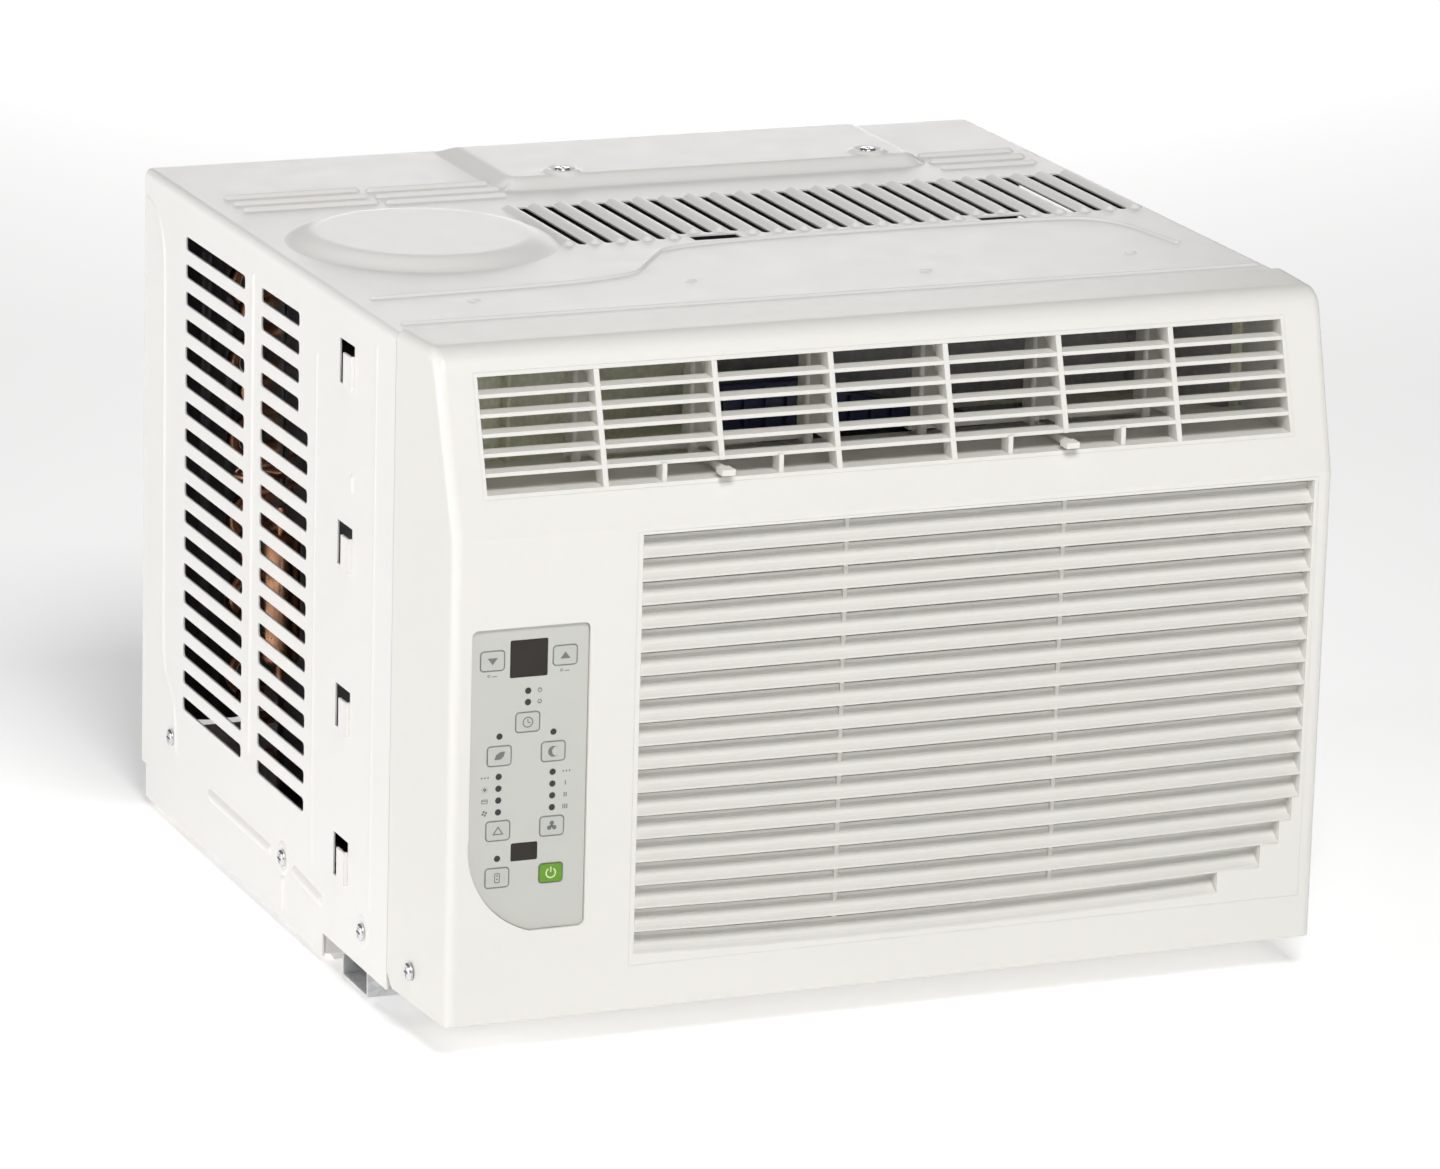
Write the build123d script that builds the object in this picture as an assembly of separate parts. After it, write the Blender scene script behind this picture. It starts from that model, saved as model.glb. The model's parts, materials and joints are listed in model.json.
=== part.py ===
from build123d import *
import os
from math import cos, radians, sin

os.makedirs("parts", exist_ok=True)

# Window air conditioner, in millimetres. X runs to the right as seen from the room,
# Y from the room side to the outdoor side, Z up. The origin is on the floor under the
# middle of the unit.

# Driving sizes
width = 470.0           # across the flat cabinet sides
depth = 450.0           # bezel face to the rear edge of the cabinet
base_drop = 19.0        # the base pan's feet stand this far below the bezel
panel_height = 324.0    # bezel's lower edge up to the flat top panel
bezel_depth = 70.5      # bezel face to the seam with the cabinet
bezel_front_width = 461.0
bezel_height = 326.5
crease_height = 245.0   # where the bezel face starts to lean back
lean = 0.31             # run over rise of the leaning upper face
sheet = 1.2             # steel sheet
wall = 2.4              # moulded wall
fan_axis_x = 66.0       # shaft of the blower and the condenser fan
fan_axis_up = 165.0

front = -depth / 2
rear = depth / 2
side = width / 2
cabinet_top = base_drop + panel_height


def behind(distance):
    """Y of a point this far behind the bezel face."""
    return front + distance


def above(height):
    """Z of a point this far above the bezel's lower edge."""
    return base_drop + height


seam = behind(bezel_depth)
fan_z = above(fan_axis_up)


# Shape helpers

def block(x0, x1, y0, y1, z0, z1):
    centre = Pos((x0 + x1) / 2, (y0 + y1) / 2, (z0 + z1) / 2)
    return centre * Box(x1 - x0, y1 - y0, z1 - z0)


def rod_x(y, z, x0, x1, radius):
    return Pos((x0 + x1) / 2, y, z) * Rot(0, 90, 0) * Cylinder(radius, x1 - x0)


def rod_y(x, z, y0, y1, radius):
    return Pos(x, (y0 + y1) / 2, z) * Rot(90, 0, 0) * Cylinder(radius, y1 - y0)


def rod_z(x, y, z0, z1, radius):
    return Pos(x, y, (z0 + z1) / 2) * Cylinder(radius, z1 - z0)


def ring_y(x, z, y0, y1, outer, inner):
    return rod_y(x, z, y0, y1, outer) - rod_y(x, z, y0 - 1, y1 + 1, inner)


def outline(points):
    return make_face(Polyline(*points, close=True))


def prism_x(face, x0, x1):
    """A face drawn in (Y, Z), pushed along X."""
    plane = Plane(origin=(x0, 0, 0), x_dir=(0, 1, 0), z_dir=(1, 0, 0))
    return extrude(plane * face, x1 - x0)


def prism_y(face, y0, y1):
    """A face drawn in (X, Z), pushed along Y."""
    plane = Plane(origin=(0, y1, 0), x_dir=(1, 0, 0), z_dir=(0, -1, 0))
    return extrude(plane * face, y1 - y0)


def prism_z(face, z0, z1):
    return extrude(Plane.XY.offset(z0) * face, z1 - z0)


def pipe(points, radii, radius):
    """A bent tube: straight runs joined by tangent arcs."""
    path = FilletPolyline(*points, radius=radii)
    section = Plane(origin=path @ 0, z_dir=path % 0) * Circle(radius)
    return sweep(section, path)


def frustum(x0, x1, y0, y1, z0, z1, slope):
    """A raised pad whose four sides lean in by slope."""
    low = Pos((x0 + x1) / 2, (y0 + y1) / 2, z0) * Rectangle(x1 - x0, y1 - y0)
    high = Pos((x0 + x1) / 2, (y0 + y1) / 2, z1) * Rectangle(x1 - x0 - 2 * slope, y1 - y0 - 2 * slope)
    return loft([low, high])


nodes = {}


def keep(name, shape):
    nodes[name] = shape


def both_sides(shape):
    return [shape, mirror(shape, about=Plane.YZ)]


# ---------------------------------------------------------------- cabinet wrapper

slot_rows = 18
slot_pitch = 14.43
top_slot_up = 299.3
slot_height = 7.2
rear_slots = (290.0, 383.0)      # behind the bezel face
front_slots = (194.0, 265.0)
short_slots_start = 208.0        # the first four front slots are shorter
lance_heights = (293.5, 202.5, 120.0, 43.5)
lance_behind = 137.0
top_slot_count = 22
top_slot_pitch = 14.25
top_slot_start = -79.5
top_slots = (224.0, 312.0)
boss_x, boss_behind, boss_radius = -154.8, 252.4, 65.7
boss_rise = 5.0
plateau = (-74.0, 164.0, 350.0, 438.0)
plateau_rise = 5.0
lower_edge_rear = 4.0
lower_edge_front = 16.0
pan_step = 163.0                 # the pan drops this far behind the bezel face
cabinet_screw_places = ((223.0, 17.7), (106.0, 15.6), (400.0, 30.0))
cabinet_screw_hole = 2.2
top_screw_places = ((-36.0, 365.0), (138.0, 367.0))


def side_slot(y0, y1, up):
    """Rounded slot cut through a side panel, in place on the left."""
    face = Pos((behind(y0) + behind(y1)) / 2, above(up)) * RectangleRounded(y1 - y0, slot_height, 2.2)
    return prism_x(face, -side - 2, -side + sheet + 2)


def side_cuts():
    cuts = []
    for row in range(slot_rows):
        up = top_slot_up - row * slot_pitch
        start = short_slots_start if row < 4 else front_slots[0]
        cuts.append(side_slot(*rear_slots, up))
        cuts.append(side_slot(start, front_slots[1], up))
    for up in lance_heights:
        cuts.append(block(-side - 3, -side + 3, behind(lance_behind - 9), behind(lance_behind + 12),
                          above(up - 11), above(up + 11)))
    for distance, up in cabinet_screw_places:
        cuts.append(rod_x(behind(distance), above(up), -side - 3, -side + 3, cabinet_screw_hole))
    return cuts


def lance(up):
    """Tongue bent out of the side panel; the window curtain's frame hooks behind it."""
    y = behind(lance_behind)
    root = block(-side - 2.2, -side + sheet, y - 9, y - 7.8, above(up - 11), above(up + 6))
    tongue = block(-side - 2.2, -side - 1.0, y - 9, y + 1.5, above(up - 11), above(up + 6))
    foot = block(-side - 2.2, -side + sheet, y - 9, y + 1.5, above(up - 11), above(up - 9.8))
    return root + tongue + foot


def cabinet():
    y0, y1 = seam + 0.4, rear
    outer = block(-side, side, y0, y1, lower_edge_rear, cabinet_top)
    outer = fillet(outer.edges().filter_by(Axis.Y).group_by(Axis.Z)[-1], 4.0)
    inner = block(-side + sheet, side - sheet, y0 - 1, y1 + 1, lower_edge_rear - 1, cabinet_top - sheet)
    inner = fillet(inner.edges().filter_by(Axis.Y).group_by(Axis.Z)[-1], 2.8)
    shell = outer - inner

    rim = outer & block(-side, side, rear - sheet, rear, 0, 400)
    rim -= block(-side + 14, side - 14, rear - 5, rear + 5, 0, cabinet_top - 14)
    joggle = block(-229.6, -228.4, behind(36), seam + 1.6, above(8), above(312))
    step = block(-side + 0.1, -228.4, seam + 0.4, seam + 1.6, above(8), above(312))
    tongue = block(-222, 222, behind(52), seam + 1, cabinet_top - sheet, cabinet_top)
    shell = shell + rim + both_sides(joggle + step) + tongue

    boss_low = Pos(boss_x, behind(boss_behind), cabinet_top) * Circle(boss_radius)
    boss_high = Pos(boss_x, behind(boss_behind), cabinet_top + boss_rise) * Circle(boss_radius - 12)
    boss = loft([boss_low, boss_high])
    pad = frustum(plateau[0], plateau[1], behind(plateau[2]), behind(plateau[3]), cabinet_top,
                  cabinet_top + plateau_rise, 8.0)
    hollows = [Pos(0, 0, -sheet) * boss, Pos(0, 0, -sheet) * pad]
    shell = shell + [boss, pad]
    shell = shell - hollows

    cuts = side_cuts()
    cuts += [mirror(cut, about=Plane.YZ) for cut in cuts]
    for index in range(top_slot_count):
        x = top_slot_start + index * top_slot_pitch
        short = 8.0 if index in (4, 5, 6, 15, 16, 17) else 0.0
        length = top_slots[1] - top_slots[0] - short
        face = Pos(x, behind(top_slots[1] - length / 2)) * RectangleRounded(4.6, length, 2.2)
        cuts.append(prism_z(face, cabinet_top - 4, cabinet_top + 4))
    for x in (-9.0, 150.0):
        cuts.append(block(x - 13, x + 13, behind(217), behind(228), cabinet_top - 4, cabinet_top + 4))
    for x, distance in top_screw_places:
        cuts.append(rod_z(x, behind(distance), cabinet_top - 5, cabinet_top + 9, 2.2))
    front_relief = block(-side - 5, side + 5, front, behind(pan_step), 0, lower_edge_front)
    rear_relief = block(-side - 5, side + 5, rear - 7, rear + 5, 0, above(3))
    shell = shell - (cuts + [front_relief, rear_relief])
    joggle_holes = rod_x(behind(42.3), above(15.6), -side - 5, side + 5, 2.0)
    shell -= joggle_holes
    lances = [lance(up) for up in lance_heights]
    return shell + lances + [mirror(tab, about=Plane.YZ) for tab in lances]


# ---------------------------------------------------------------- base pan and sill rail

pan_half = side - sheet - 0.4
pan_floor = 5.0
pan_front_floor = 16.0
foot_rows = (177.0, 222.0, 342.0, 412.0)


def base_pan():
    y0, y1 = behind(76.0), rear - 8
    step = behind(pan_step)
    outer = block(-pan_half, pan_half, step, y1, pan_floor, above(22))
    outer += block(-pan_half, pan_half, y0, step + sheet, pan_front_floor, above(22))
    inner = block(-pan_half + sheet, pan_half - sheet, step + sheet, y1 - sheet, pan_floor + sheet, 80)
    inner += block(-pan_half + sheet, pan_half - sheet, y0 + sheet, step + 2 * sheet,
                   pan_front_floor + sheet, 80)
    pan = outer - inner
    for row in foot_rows:
        for x in (-206.0, 206.0):
            y = behind(row)
            outside = Rot(180, 0, 0) * frustum(x - 24, x + 24, -y - 12, -y + 12, -pan_floor - 0.01, 0, 3.0)
            pan += outside
            pan -= Pos(0, 0, sheet) * outside
    for distance, up in cabinet_screw_places:
        pan -= rod_x(behind(distance), above(up), -side - 3, side + 3, 1.7)
    for bx, by in compressor_bolts:
        pan -= rod_z(bx, by, 0, 20, 3.2)
    return pan


rail_half = 234.0
rail_front, rail_back = 100.0, 136.0
rail_bottom = 2.5
rail_hole_x = 150.0


def sill_rail():
    floor = block(-rail_half, rail_half, behind(rail_front), behind(rail_back),
                  rail_bottom, rail_bottom + sheet)
    face = block(-rail_half, rail_half, behind(rail_front), behind(rail_front) + sheet, rail_bottom, 15.9)
    lip = block(-rail_half, rail_half, behind(rail_back) - sheet, behind(rail_back), rail_bottom, 13.5)
    flange = block(-rail_half + 6, rail_half - 6, behind(rail_front - 14), behind(rail_front) + sheet,
                   15.9 - sheet, 15.9)
    rail = floor + face + lip + flange
    for x in (-rail_hole_x, rail_hole_x):
        rail -= rod_z(x, behind((rail_front + rail_back) / 2), 0, 8, 2.75)
    return rail


# ---------------------------------------------------------------- front bezel

outlet = (-212.3, 208.7, 259.8, 313.1)     # left, right, bottom, top
outlet_bars = (-152.2, -92.0, -31.9, 28.3, 88.4, 148.6)
outlet_rows = 6
grille_left = -135.0
grille_rows = 18
grille_top = 236.3
grille_pitch = 11.63
grille_right = [220.2] * 14 + [216.5, 210.0, 200.1, 176.9]
grille_sag = 2.8
panel_right, panel_left = -161.0, -220.8
panel_top, panel_bottom = 196.0, 45.0
panel_corner = 3.2
corner_radius = 5.0


def face_lean(up):
    """How far the leaning upper face stands back at this height."""
    return 1.5 + lean * (up - crease_height)


def bezel_form(inset):
    """The bezel's outside form, or its inside when inset by the wall."""
    top = bezel_height - inset
    low = inset
    profile = outline([
        (behind(inset), above(low)),
        (behind(inset), above(crease_height - face_lean(crease_height) / lean)),
        (behind(inset + face_lean(top)), above(top)),
        (seam + (inset and 2), above(top)),
        (seam + (inset and 2), above(low)),
    ])
    form = prism_x(profile, -side - 1, side + 1)
    shoulder = form.edges().filter_by(Axis.X).sort_by(Axis.Z)[-2:].sort_by(Axis.Y)[0]
    form = fillet(shoulder, 14.0 - inset)
    taper = (side - bezel_front_width / 2) / bezel_depth
    half_front = bezel_front_width / 2 - inset - taper
    half_rear = side - inset + 3 * taper
    plan = outline([
        (-half_front, front - 1),
        (half_front, front - 1),
        (half_rear, seam + 3),
        (-half_rear, seam + 3),
    ])
    form = form & prism_z(plan, 0, 400)
    return form


def panel_outline(grow):
    """Control panel's outline: square top, swept lower left corner."""
    left, right = panel_left - grow, panel_right + grow
    top, low = above(panel_top + grow), above(panel_bottom - grow)
    lines = [
        Line((right, low), (right, top)),
        Line((right, top), (left, top)),
        Line((left, top), (left, above(94.0))),
        ThreePointArc((left, above(94.0)), (-212.2 - 0.7 * grow, above(61.5 - 0.7 * grow)), (-189.0, low)),
        Line((-189.0, low), (right, low)),
    ]
    face = make_face(Wire(lines))
    rounded = ((right, low), (right, top), (left, top))
    corners = [face.vertices().sort_by_distance(corner)[0] for corner in rounded]
    return fillet(corners, panel_corner + grow)


def swept_row(points, row):
    """A blade run along one grille row, which sags more towards the bottom rows."""
    right = grille_right[row]
    sag = grille_sag * (row / (grille_rows - 1)) ** 1.5
    line = row_line(row)
    middle = (grille_left + right) / 2
    profile = outline([(behind(y), line + z) for y, z in points])
    if sag < 0.1:
        return prism_x(profile, grille_left, right)
    start = (grille_left, front, line)
    path = ThreePointArc(start, (middle, front, line - sag), (right, front, line))
    plane = Plane(origin=(grille_left, 0, 0), x_dir=(0, 1, 0), z_dir=(1, 0, 0))
    return sweep(plane * profile, path, transition=Transition.TRANSFORMED)


# each blade is a scoop: it starts upright at the back and sweeps down and forward to a round lip
blade_section = [(7.0, -2.3), (6.9, -3.8), (6.3, -5.3), (5.2, -6.9), (3.7, -8.4), (2.1, -9.6),
                 (0.8, -10.35), (0.2, -10.75), (0, -11.1), (0.2, -11.5), (0.7, -11.63), (1.6, -11.4),
                 (3.2, -10.4), (4.8, -9.1), (6.4, -7.4), (7.6, -5.5), (8.2, -3.8), (8.3, -2.3)]


louvre_left, louvre_right = outlet[0] - 2, outlet[1] + 2
louvre_low, louvre_high = outlet[2] - 2, outlet[3] + 2
louvre_back = 62.0
insert = (-137.5, 222.5, 22.0, 237.8)       # left, right, bottom, top of the grille's own moulding


def bezel_outside():
    outer = bezel_form(0.0)
    corners = outer.edges().filter_by(lambda e: e.center().Y < seam - 12 and abs(e.center().X) > 225)
    corners = corners.filter_by(lambda e: e.center().Z > above(10))
    return fillet(corners, corner_radius)


def louvre_block(start):
    """The room the outlet louvre takes in the front, from a given depth back."""
    return block(louvre_left, louvre_right, start, behind(louvre_back), above(louvre_low), above(louvre_high))


def front_bezel():
    """Moulded surround: open behind, with holes for the louvre, the grille and the panel."""
    shell = bezel_outside() - bezel_form(wall)
    shell -= louvre_block(front - 5)
    shell = shell - block(insert[0], insert[1], front - 5, behind(9), above(insert[2]), above(insert[3]))
    shell = shell - prism_y(panel_outline(0.0), front - 1, behind(5))
    slot = block(200, side + 5, behind(11.2), behind(16.8), above(26.5), above(247.5))
    screws = rod_x(behind(42.3), above(15.6), -side - 5, side + 5, 2.2)
    notch = Pos(0, seam, above(0)) * Rot(45, 0, 0) * Box(2 * side + 20, 9, 9)
    shell = shell - [slot, screws, notch]
    return shell - rod_z(bushing_x, behind(bushing_behind), 0, above(wall + 1), 7.0)


def outlet_louvre():
    """Tube from the air way to the leaning face, closed by bars; it carries the vanes."""
    left, right, low, high = outlet
    tube = louvre_block(front)
    tube = tube & bezel_outside()
    tube -= block(left, right, front - 5, behind(70), above(low), above(high))
    bar_depth = 10.0
    pitch = (high - low) / outlet_rows
    bars = []
    for index in range(1, outlet_rows):
        up = low + pitch * index
        y = behind(face_lean(up))
        bars.append(block(left - 1, right + 1, y + 0.4, y + bar_depth, above(up - 1.0), above(up + 1.0)))
    for index, x in enumerate(outlet_bars):
        stop = low + pitch - 1.0 if index in (1, 4) else low - 1
        bars.append(prism_x(outline([
            (behind(face_lean(stop)) + 0.2, above(stop)),
            (behind(face_lean(high + 1)) + 0.2, above(high + 1)),
            (behind(face_lean(high + 1)) + bar_depth, above(high + 1)),
            (behind(face_lean(stop)) + bar_depth, above(stop)),
        ]), x - 1.4, x + 1.4))
    for x in (-122.0, -62.0, 58.3, 118.5):
        y = behind(face_lean(low))
        bars.append(block(x - 1.2, x + 1.2, y + 1.5, y + bar_depth, above(low - 1), above(low + pitch)))
    tube = tube + bars
    for x in outlet_bars:
        tube -= rod_z(x, behind(vane_pivot), above(low - 4), above(high + 4), 1.55)
    return tube


def row_line(row):
    return above(grille_top - row * grille_pitch)


def grille_window():
    """The opening the blades fill; its right edge steps in and its bottom edge sags."""
    low = row_line(grille_rows - 1) - 11.0
    path = [(grille_left, row_line(0)), (grille_right[0], row_line(0))]
    for row in range(1, grille_rows):
        if grille_right[row] != grille_right[row - 1]:
            path += [(grille_right[row - 1], row_line(row)), (grille_right[row], row_line(row))]
    path.append((grille_right[-1], low))
    middle = ((grille_left + grille_right[-1]) / 2, low - grille_sag)
    edges = [Line(path[step], path[step + 1]) for step in range(len(path) - 1)]
    edges.append(ThreePointArc(path[-1], middle, (grille_left, low)))
    edges.append(Line((grille_left, low), path[0]))
    return make_face(Wire(edges))


def intake_grille():
    """Face with one long window full of scooped blades, and the upright ribs behind them."""
    face = block(insert[0], insert[1], front, behind(wall), above(insert[2]), above(insert[3]))
    face -= prism_y(grille_window(), front - 1, behind(5))
    blades = [swept_row(blade_section, row) for row in range(grille_rows)]
    ribs = []
    for row, right_end in enumerate(grille_right):
        for x in (grille_left - 1.6, right_end - 0.3):
            up = row_line(row)
            ribs.append(block(x, x + 1.9, behind(1.5), behind(9), up - grille_pitch, up + 0.5))
    for x in (-27.5, 87.5):
        ribs.append(block(x - 1.1, x + 1.1, behind(5.8), behind(9), above(34), above(insert[3])))
    return face + ribs + blades


# ---------------------------------------------------------------- control panel

column_left, column_middle, column_right = -205.6, -191.5, -178.2
key_size = (11.6, 9.2)
panel_face = 1.5
keys = {
    "temperature_down_key": (-209.9, 180.3),
    "temperature_up_key": (-173.1, 180.3),
    "timer_key": (column_middle, 148.8),
    "energy_key": (column_left, 133.2),
    "sleep_key": (column_right, 133.2),
    "mode_key": (column_left, 96.1),
    "fan_key": (column_right, 96.1),
    "follow_key": (column_left, 72.7),
    "power_key": (column_right, 72.7),
}
light_places = [(column_middle, 164.2), (column_middle, 158.6), (column_left, 142.8), (column_right, 142.8)]
light_places += [(x, 122.9 - 5.87 * step) for x in (column_left, column_right) for step in range(4)]
light_places += [(column_left, 82.2)]
light_radius = 1.5
display = (-191.4, 180.3, 18.9, 18.3)
receiver = (-192.0, 84.6, 13.4, 8.8)


def rounded_block(x, up, wide, tall, radius, y0, y1):
    return prism_y(Pos(x, above(up)) * RectangleRounded(wide, tall, radius), y0, y1)


def control_panel():
    plate = prism_y(panel_outline(-0.25), behind(panel_face), behind(wall))
    plate += prism_y(panel_outline(2.2), behind(wall), behind(3.8))
    cuts = []
    for x, up in keys.values():
        cuts.append(rounded_block(x, up, key_size[0] + 0.5, key_size[1] + 0.5, 1.6, front, behind(6)))
    for x, up, wide, tall in (display, receiver):
        cuts.append(rounded_block(x, up, wide + 0.2, tall + 0.2, 0.8, front, behind(6)))
    for x, up in light_places:
        cuts.append(rod_y(x, above(up), front, behind(6), light_radius + 0.1))
    return plate - cuts


def key(x, up):
    cap = rounded_block(x, up, *key_size, 1.4, behind(panel_face - 0.35), behind(4.0))
    cap = fillet(cap.faces().sort_by(Axis.Y)[0].edges(), 0.3)
    return cap + rounded_block(x, up, key_size[0] + 1.6, key_size[1] + 1.6, 1.8, behind(4.0), behind(4.4))


def control_board():
    board = block(-221.0, -160.0, behind(6.6), behind(8.2), above(50), above(193))
    for x, up in keys.values():
        board += block(x - 3, x + 3, behind(5.2), behind(6.6), above(up - 3), above(up + 3))
    return board


box_left, box_right = -226.0, -142.0
box_front, box_back = 9.0, 52.0


def control_box():
    outer = block(box_left, box_right, behind(box_front), behind(box_back), above(36), above(250))
    inner = block(box_left + sheet, box_right - sheet, behind(box_front) - 1, behind(box_back) - sheet,
                  above(36) + sheet, above(250) - sheet)
    return outer - inner


def run_capacitor():
    can = rod_z(-185.0, behind(33), above(60), above(150), 16.0)
    can = fillet(can.edges().group_by(Axis.Z)[0], 3.0)
    for x in (-190.0, -180.0):
        can += block(x - 3, x + 3, behind(32.6), behind(33.4), above(150), above(159))
    return can


def capacitor_clip():
    band = Pos(-185.0, behind(33), above(105)) * Cylinder(17.3, 16.0)
    band -= Pos(-185.0, behind(33), above(105)) * Cylinder(16.1, 20.0)
    tab = block(-193, -177, behind(49.1), behind(50.7), above(97), above(113))
    return band + (tab - rod_z(-185.0, behind(33), above(90), above(120), 16.2))


# ---------------------------------------------------------------- air filter

filter_left, filter_right = -132.5, 231.0
filter_front, filter_back = 12.0, 16.0
filter_low, filter_high = 28.0, 246.0


def filter_frame():
    frame = block(filter_left, filter_right, behind(filter_front), behind(filter_back),
                  above(filter_low), above(filter_high))
    columns, rows = 5, 4
    cell_x = (filter_right - filter_left - 5) / columns
    cell_z = (filter_high - filter_low - 5) / rows
    cuts = []
    for column in range(columns):
        for row in range(rows):
            x = filter_left + 5 + column * cell_x
            z = above(filter_low + 5 + row * cell_z)
            cuts.append(block(x, x + cell_x - 5, behind(5), behind(25), z, z + cell_z - 5))
    return frame - cuts


def filter_mesh():
    """Net welded to the back of the filter frame."""
    return block(filter_left + 2, filter_right - 2, behind(filter_back), behind(filter_back) + 0.5,
                 above(filter_low + 2), above(filter_high - 2))


# ---------------------------------------------------------------- outlet vanes

vane_pivot = 46.0
vane_low, vane_high = 260.4, 312.4
link_behind = 55.0
link_up = 264.5
tab_tip = 0.6


def vane(index):
    """Upright vane on two pins; the middle one of each three carries the adjusting tab."""
    x = outlet_bars[index]
    blade = prism_x(outline([
        (behind(20.5), above(vane_low + 9.4)),
        (behind(36.5), above(vane_high)),
        (behind(58.5), above(vane_high)),
        (behind(58.5), above(vane_low + 9.4)),
    ]), x - 0.8, x + 0.8)
    spine = rod_z(x, behind(vane_pivot), above(vane_low), above(vane_high), 2.4)
    pins = rod_z(x, behind(vane_pivot), above(vane_low - 2.0), above(vane_high + 2.0), 1.5)
    arm = block(x - 1.2, x + 1.2, behind(vane_pivot), behind(link_behind + 2.4), above(vane_low + 7.0),
                above(vane_low + 9.6))
    link_pin = rod_z(x, behind(link_behind), above(vane_low + 1.0), above(vane_low + 7.2), 1.2)
    body = blade + spine + pins + arm + link_pin
    if index in (1, 4):
        reach = block(x - 1.0, x + 1.0, behind(tab_tip + 4), behind(vane_pivot), above(vane_low + 1.2),
                      above(vane_low + 4.6))
        grip = block(x - 3.4, x + 3.4, behind(tab_tip), behind(tab_tip + 8), above(vane_low + 1.4),
                     above(vane_low + 4.4))
        body = body + reach + grip
    return body


def link_bar(first):
    """Bar that ties three vanes together behind their pivots."""
    xs = outlet_bars[first:first + 3]
    y = behind(link_behind)
    bar = block(xs[0] - 4, xs[2] + 4, y - 2.5, y + 2.5, above(vane_low + 2.6), above(vane_low + 5.2))
    for step, x in enumerate(xs):
        radius = 1.26 if step == 1 else 1.7
        bar -= rod_z(x, y, above(vane_low), above(vane_low + 9), radius)
    return bar


# ---------------------------------------------------------------- coils

def coil_tube_places(y_rows, z_low, pitch, count):
    places = []
    for row, y in enumerate(y_rows):
        shift = pitch / 2 if row % 2 else 0.0
        places += [(y, z_low + shift + pitch * step) for step in range(count)]
    return places


def fin_pack(x0, x1, y0, y1, z0, z1, pitch, thickness, places, hole):
    """Parallel fins, tied at their corners, with heavier end plates; the tubes pass through."""
    face = Pos((y0 + y1) / 2, (z0 + z1) / 2) * Rectangle(y1 - y0, z1 - z0)
    face -= [Pos(y, z) * Circle(hole) for y, z in places]
    fin = prism_x(face, 0, thickness)
    count = int((x1 - x0 - 4) / pitch)
    fins = [Pos(x0 + 3 + pitch * step, 0, 0) * fin for step in range(count)]
    plate = prism_x(face, 0, 1.5)
    ties = [block(x0, x1, y, y + 1, z, z + 1) for y in (y0, y1 - 1) for z in (z0, z1 - 1)]
    return Pos(x0, 0, 0) * plate + [*fins, Pos(x1 - 1.5, 0, 0) * plate, *ties]


def return_bend(x, y, z0, z1, radius, direction):
    """U bend outside an end plate, joining two neighbouring tubes of a row."""
    top = (x + direction * (z1 - z0) / 2, y, (z0 + z1) / 2)
    path = ThreePointArc((x, y, z0), top, (x, y, z1))
    section = Plane(origin=(x, y, z0), z_dir=(direction, 0, 0)) * Circle(radius)
    return sweep(section, path)


def bare_tube(y, z, x0, x1, radius, bore):
    return rod_x(y, z, x0, x1, radius) - rod_x(y, z, x0 - 1, x1 + 1, bore)


def coil_tubes(x0, x1, y_rows, z_low, pitch, count, radius):
    """Straight tubes with return bends at alternate ends of each row."""
    overhang = 7.0
    tubes = []
    for row, y in enumerate(y_rows):
        shift = pitch / 2 if row % 2 else 0.0
        heights = [z_low + shift + pitch * step for step in range(count)]
        ends = (x0 - overhang, x1 + overhang)
        runs = [bare_tube(y, z, *ends, radius, tube_bore) for z in heights]
        for step in range(1, count):
            end, direction = (ends[1], 1) if step % 2 else (ends[0], -1)
            bend = [return_bend(end, y, heights[step - 1], heights[step], size, direction)
                    for size in (radius, tube_bore)]
            runs.append(bend[0] - bend[1])
        tubes.append(runs[0] + runs[1:])
    return Compound(children=tubes)


evaporator_x = (-118.0, 206.0)
evaporator_rows = (behind(28.0), behind(42.0))
evaporator_pitch = 21.0
condenser_x = (-178.0, 204.0)
condenser_rows = (behind(404.0), behind(422.0))
condenser_pitch = 21.0
tube_radius = 3.5
fin_pitch, fin_thickness = 5.0, 0.8
tube_bore = 2.8


# ---------------------------------------------------------------- fan system

wheel_radius = 86.0
wheel_inner = 71.0
wheel_y = (70.0, 110.0)
scroll_y = (66.0, 114.0)
motor_y = (150.0, 222.0)
fan_y = (306.0, 330.0)
shroud_y = 336.0
partition_y = 124.0
shaft_radius = 4.0


def blower_wheel():
    x, z = fan_axis_x, fan_z
    wheel = ring_y(x, z, behind(wheel_y[0]), behind(wheel_y[0]) + 2, wheel_radius, wheel_inner)
    wheel += ring_y(x, z, behind(wheel_y[1]) - 2, behind(wheel_y[1]), wheel_radius, shaft_radius)
    wheel += ring_y(x, z, behind(wheel_y[1]) - 22, behind(wheel_y[1]) - 2, 13.0, shaft_radius)
    blade = block(-0.9, 0.9, behind(wheel_y[0]) + 1, behind(wheel_y[1]) - 1,
                  wheel_inner + 0.8, wheel_radius - 0.6)
    blades = []
    count = 30
    for index in range(count):
        lean_blade = Pos(0, 0, 78) * Rot(0, 22, 0) * Pos(0, 0, -78) * blade
        blades.append(Pos(x, 0, z) * Rot(0, 360 * index / count, 0) * lean_blade)
    return wheel + blades


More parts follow.
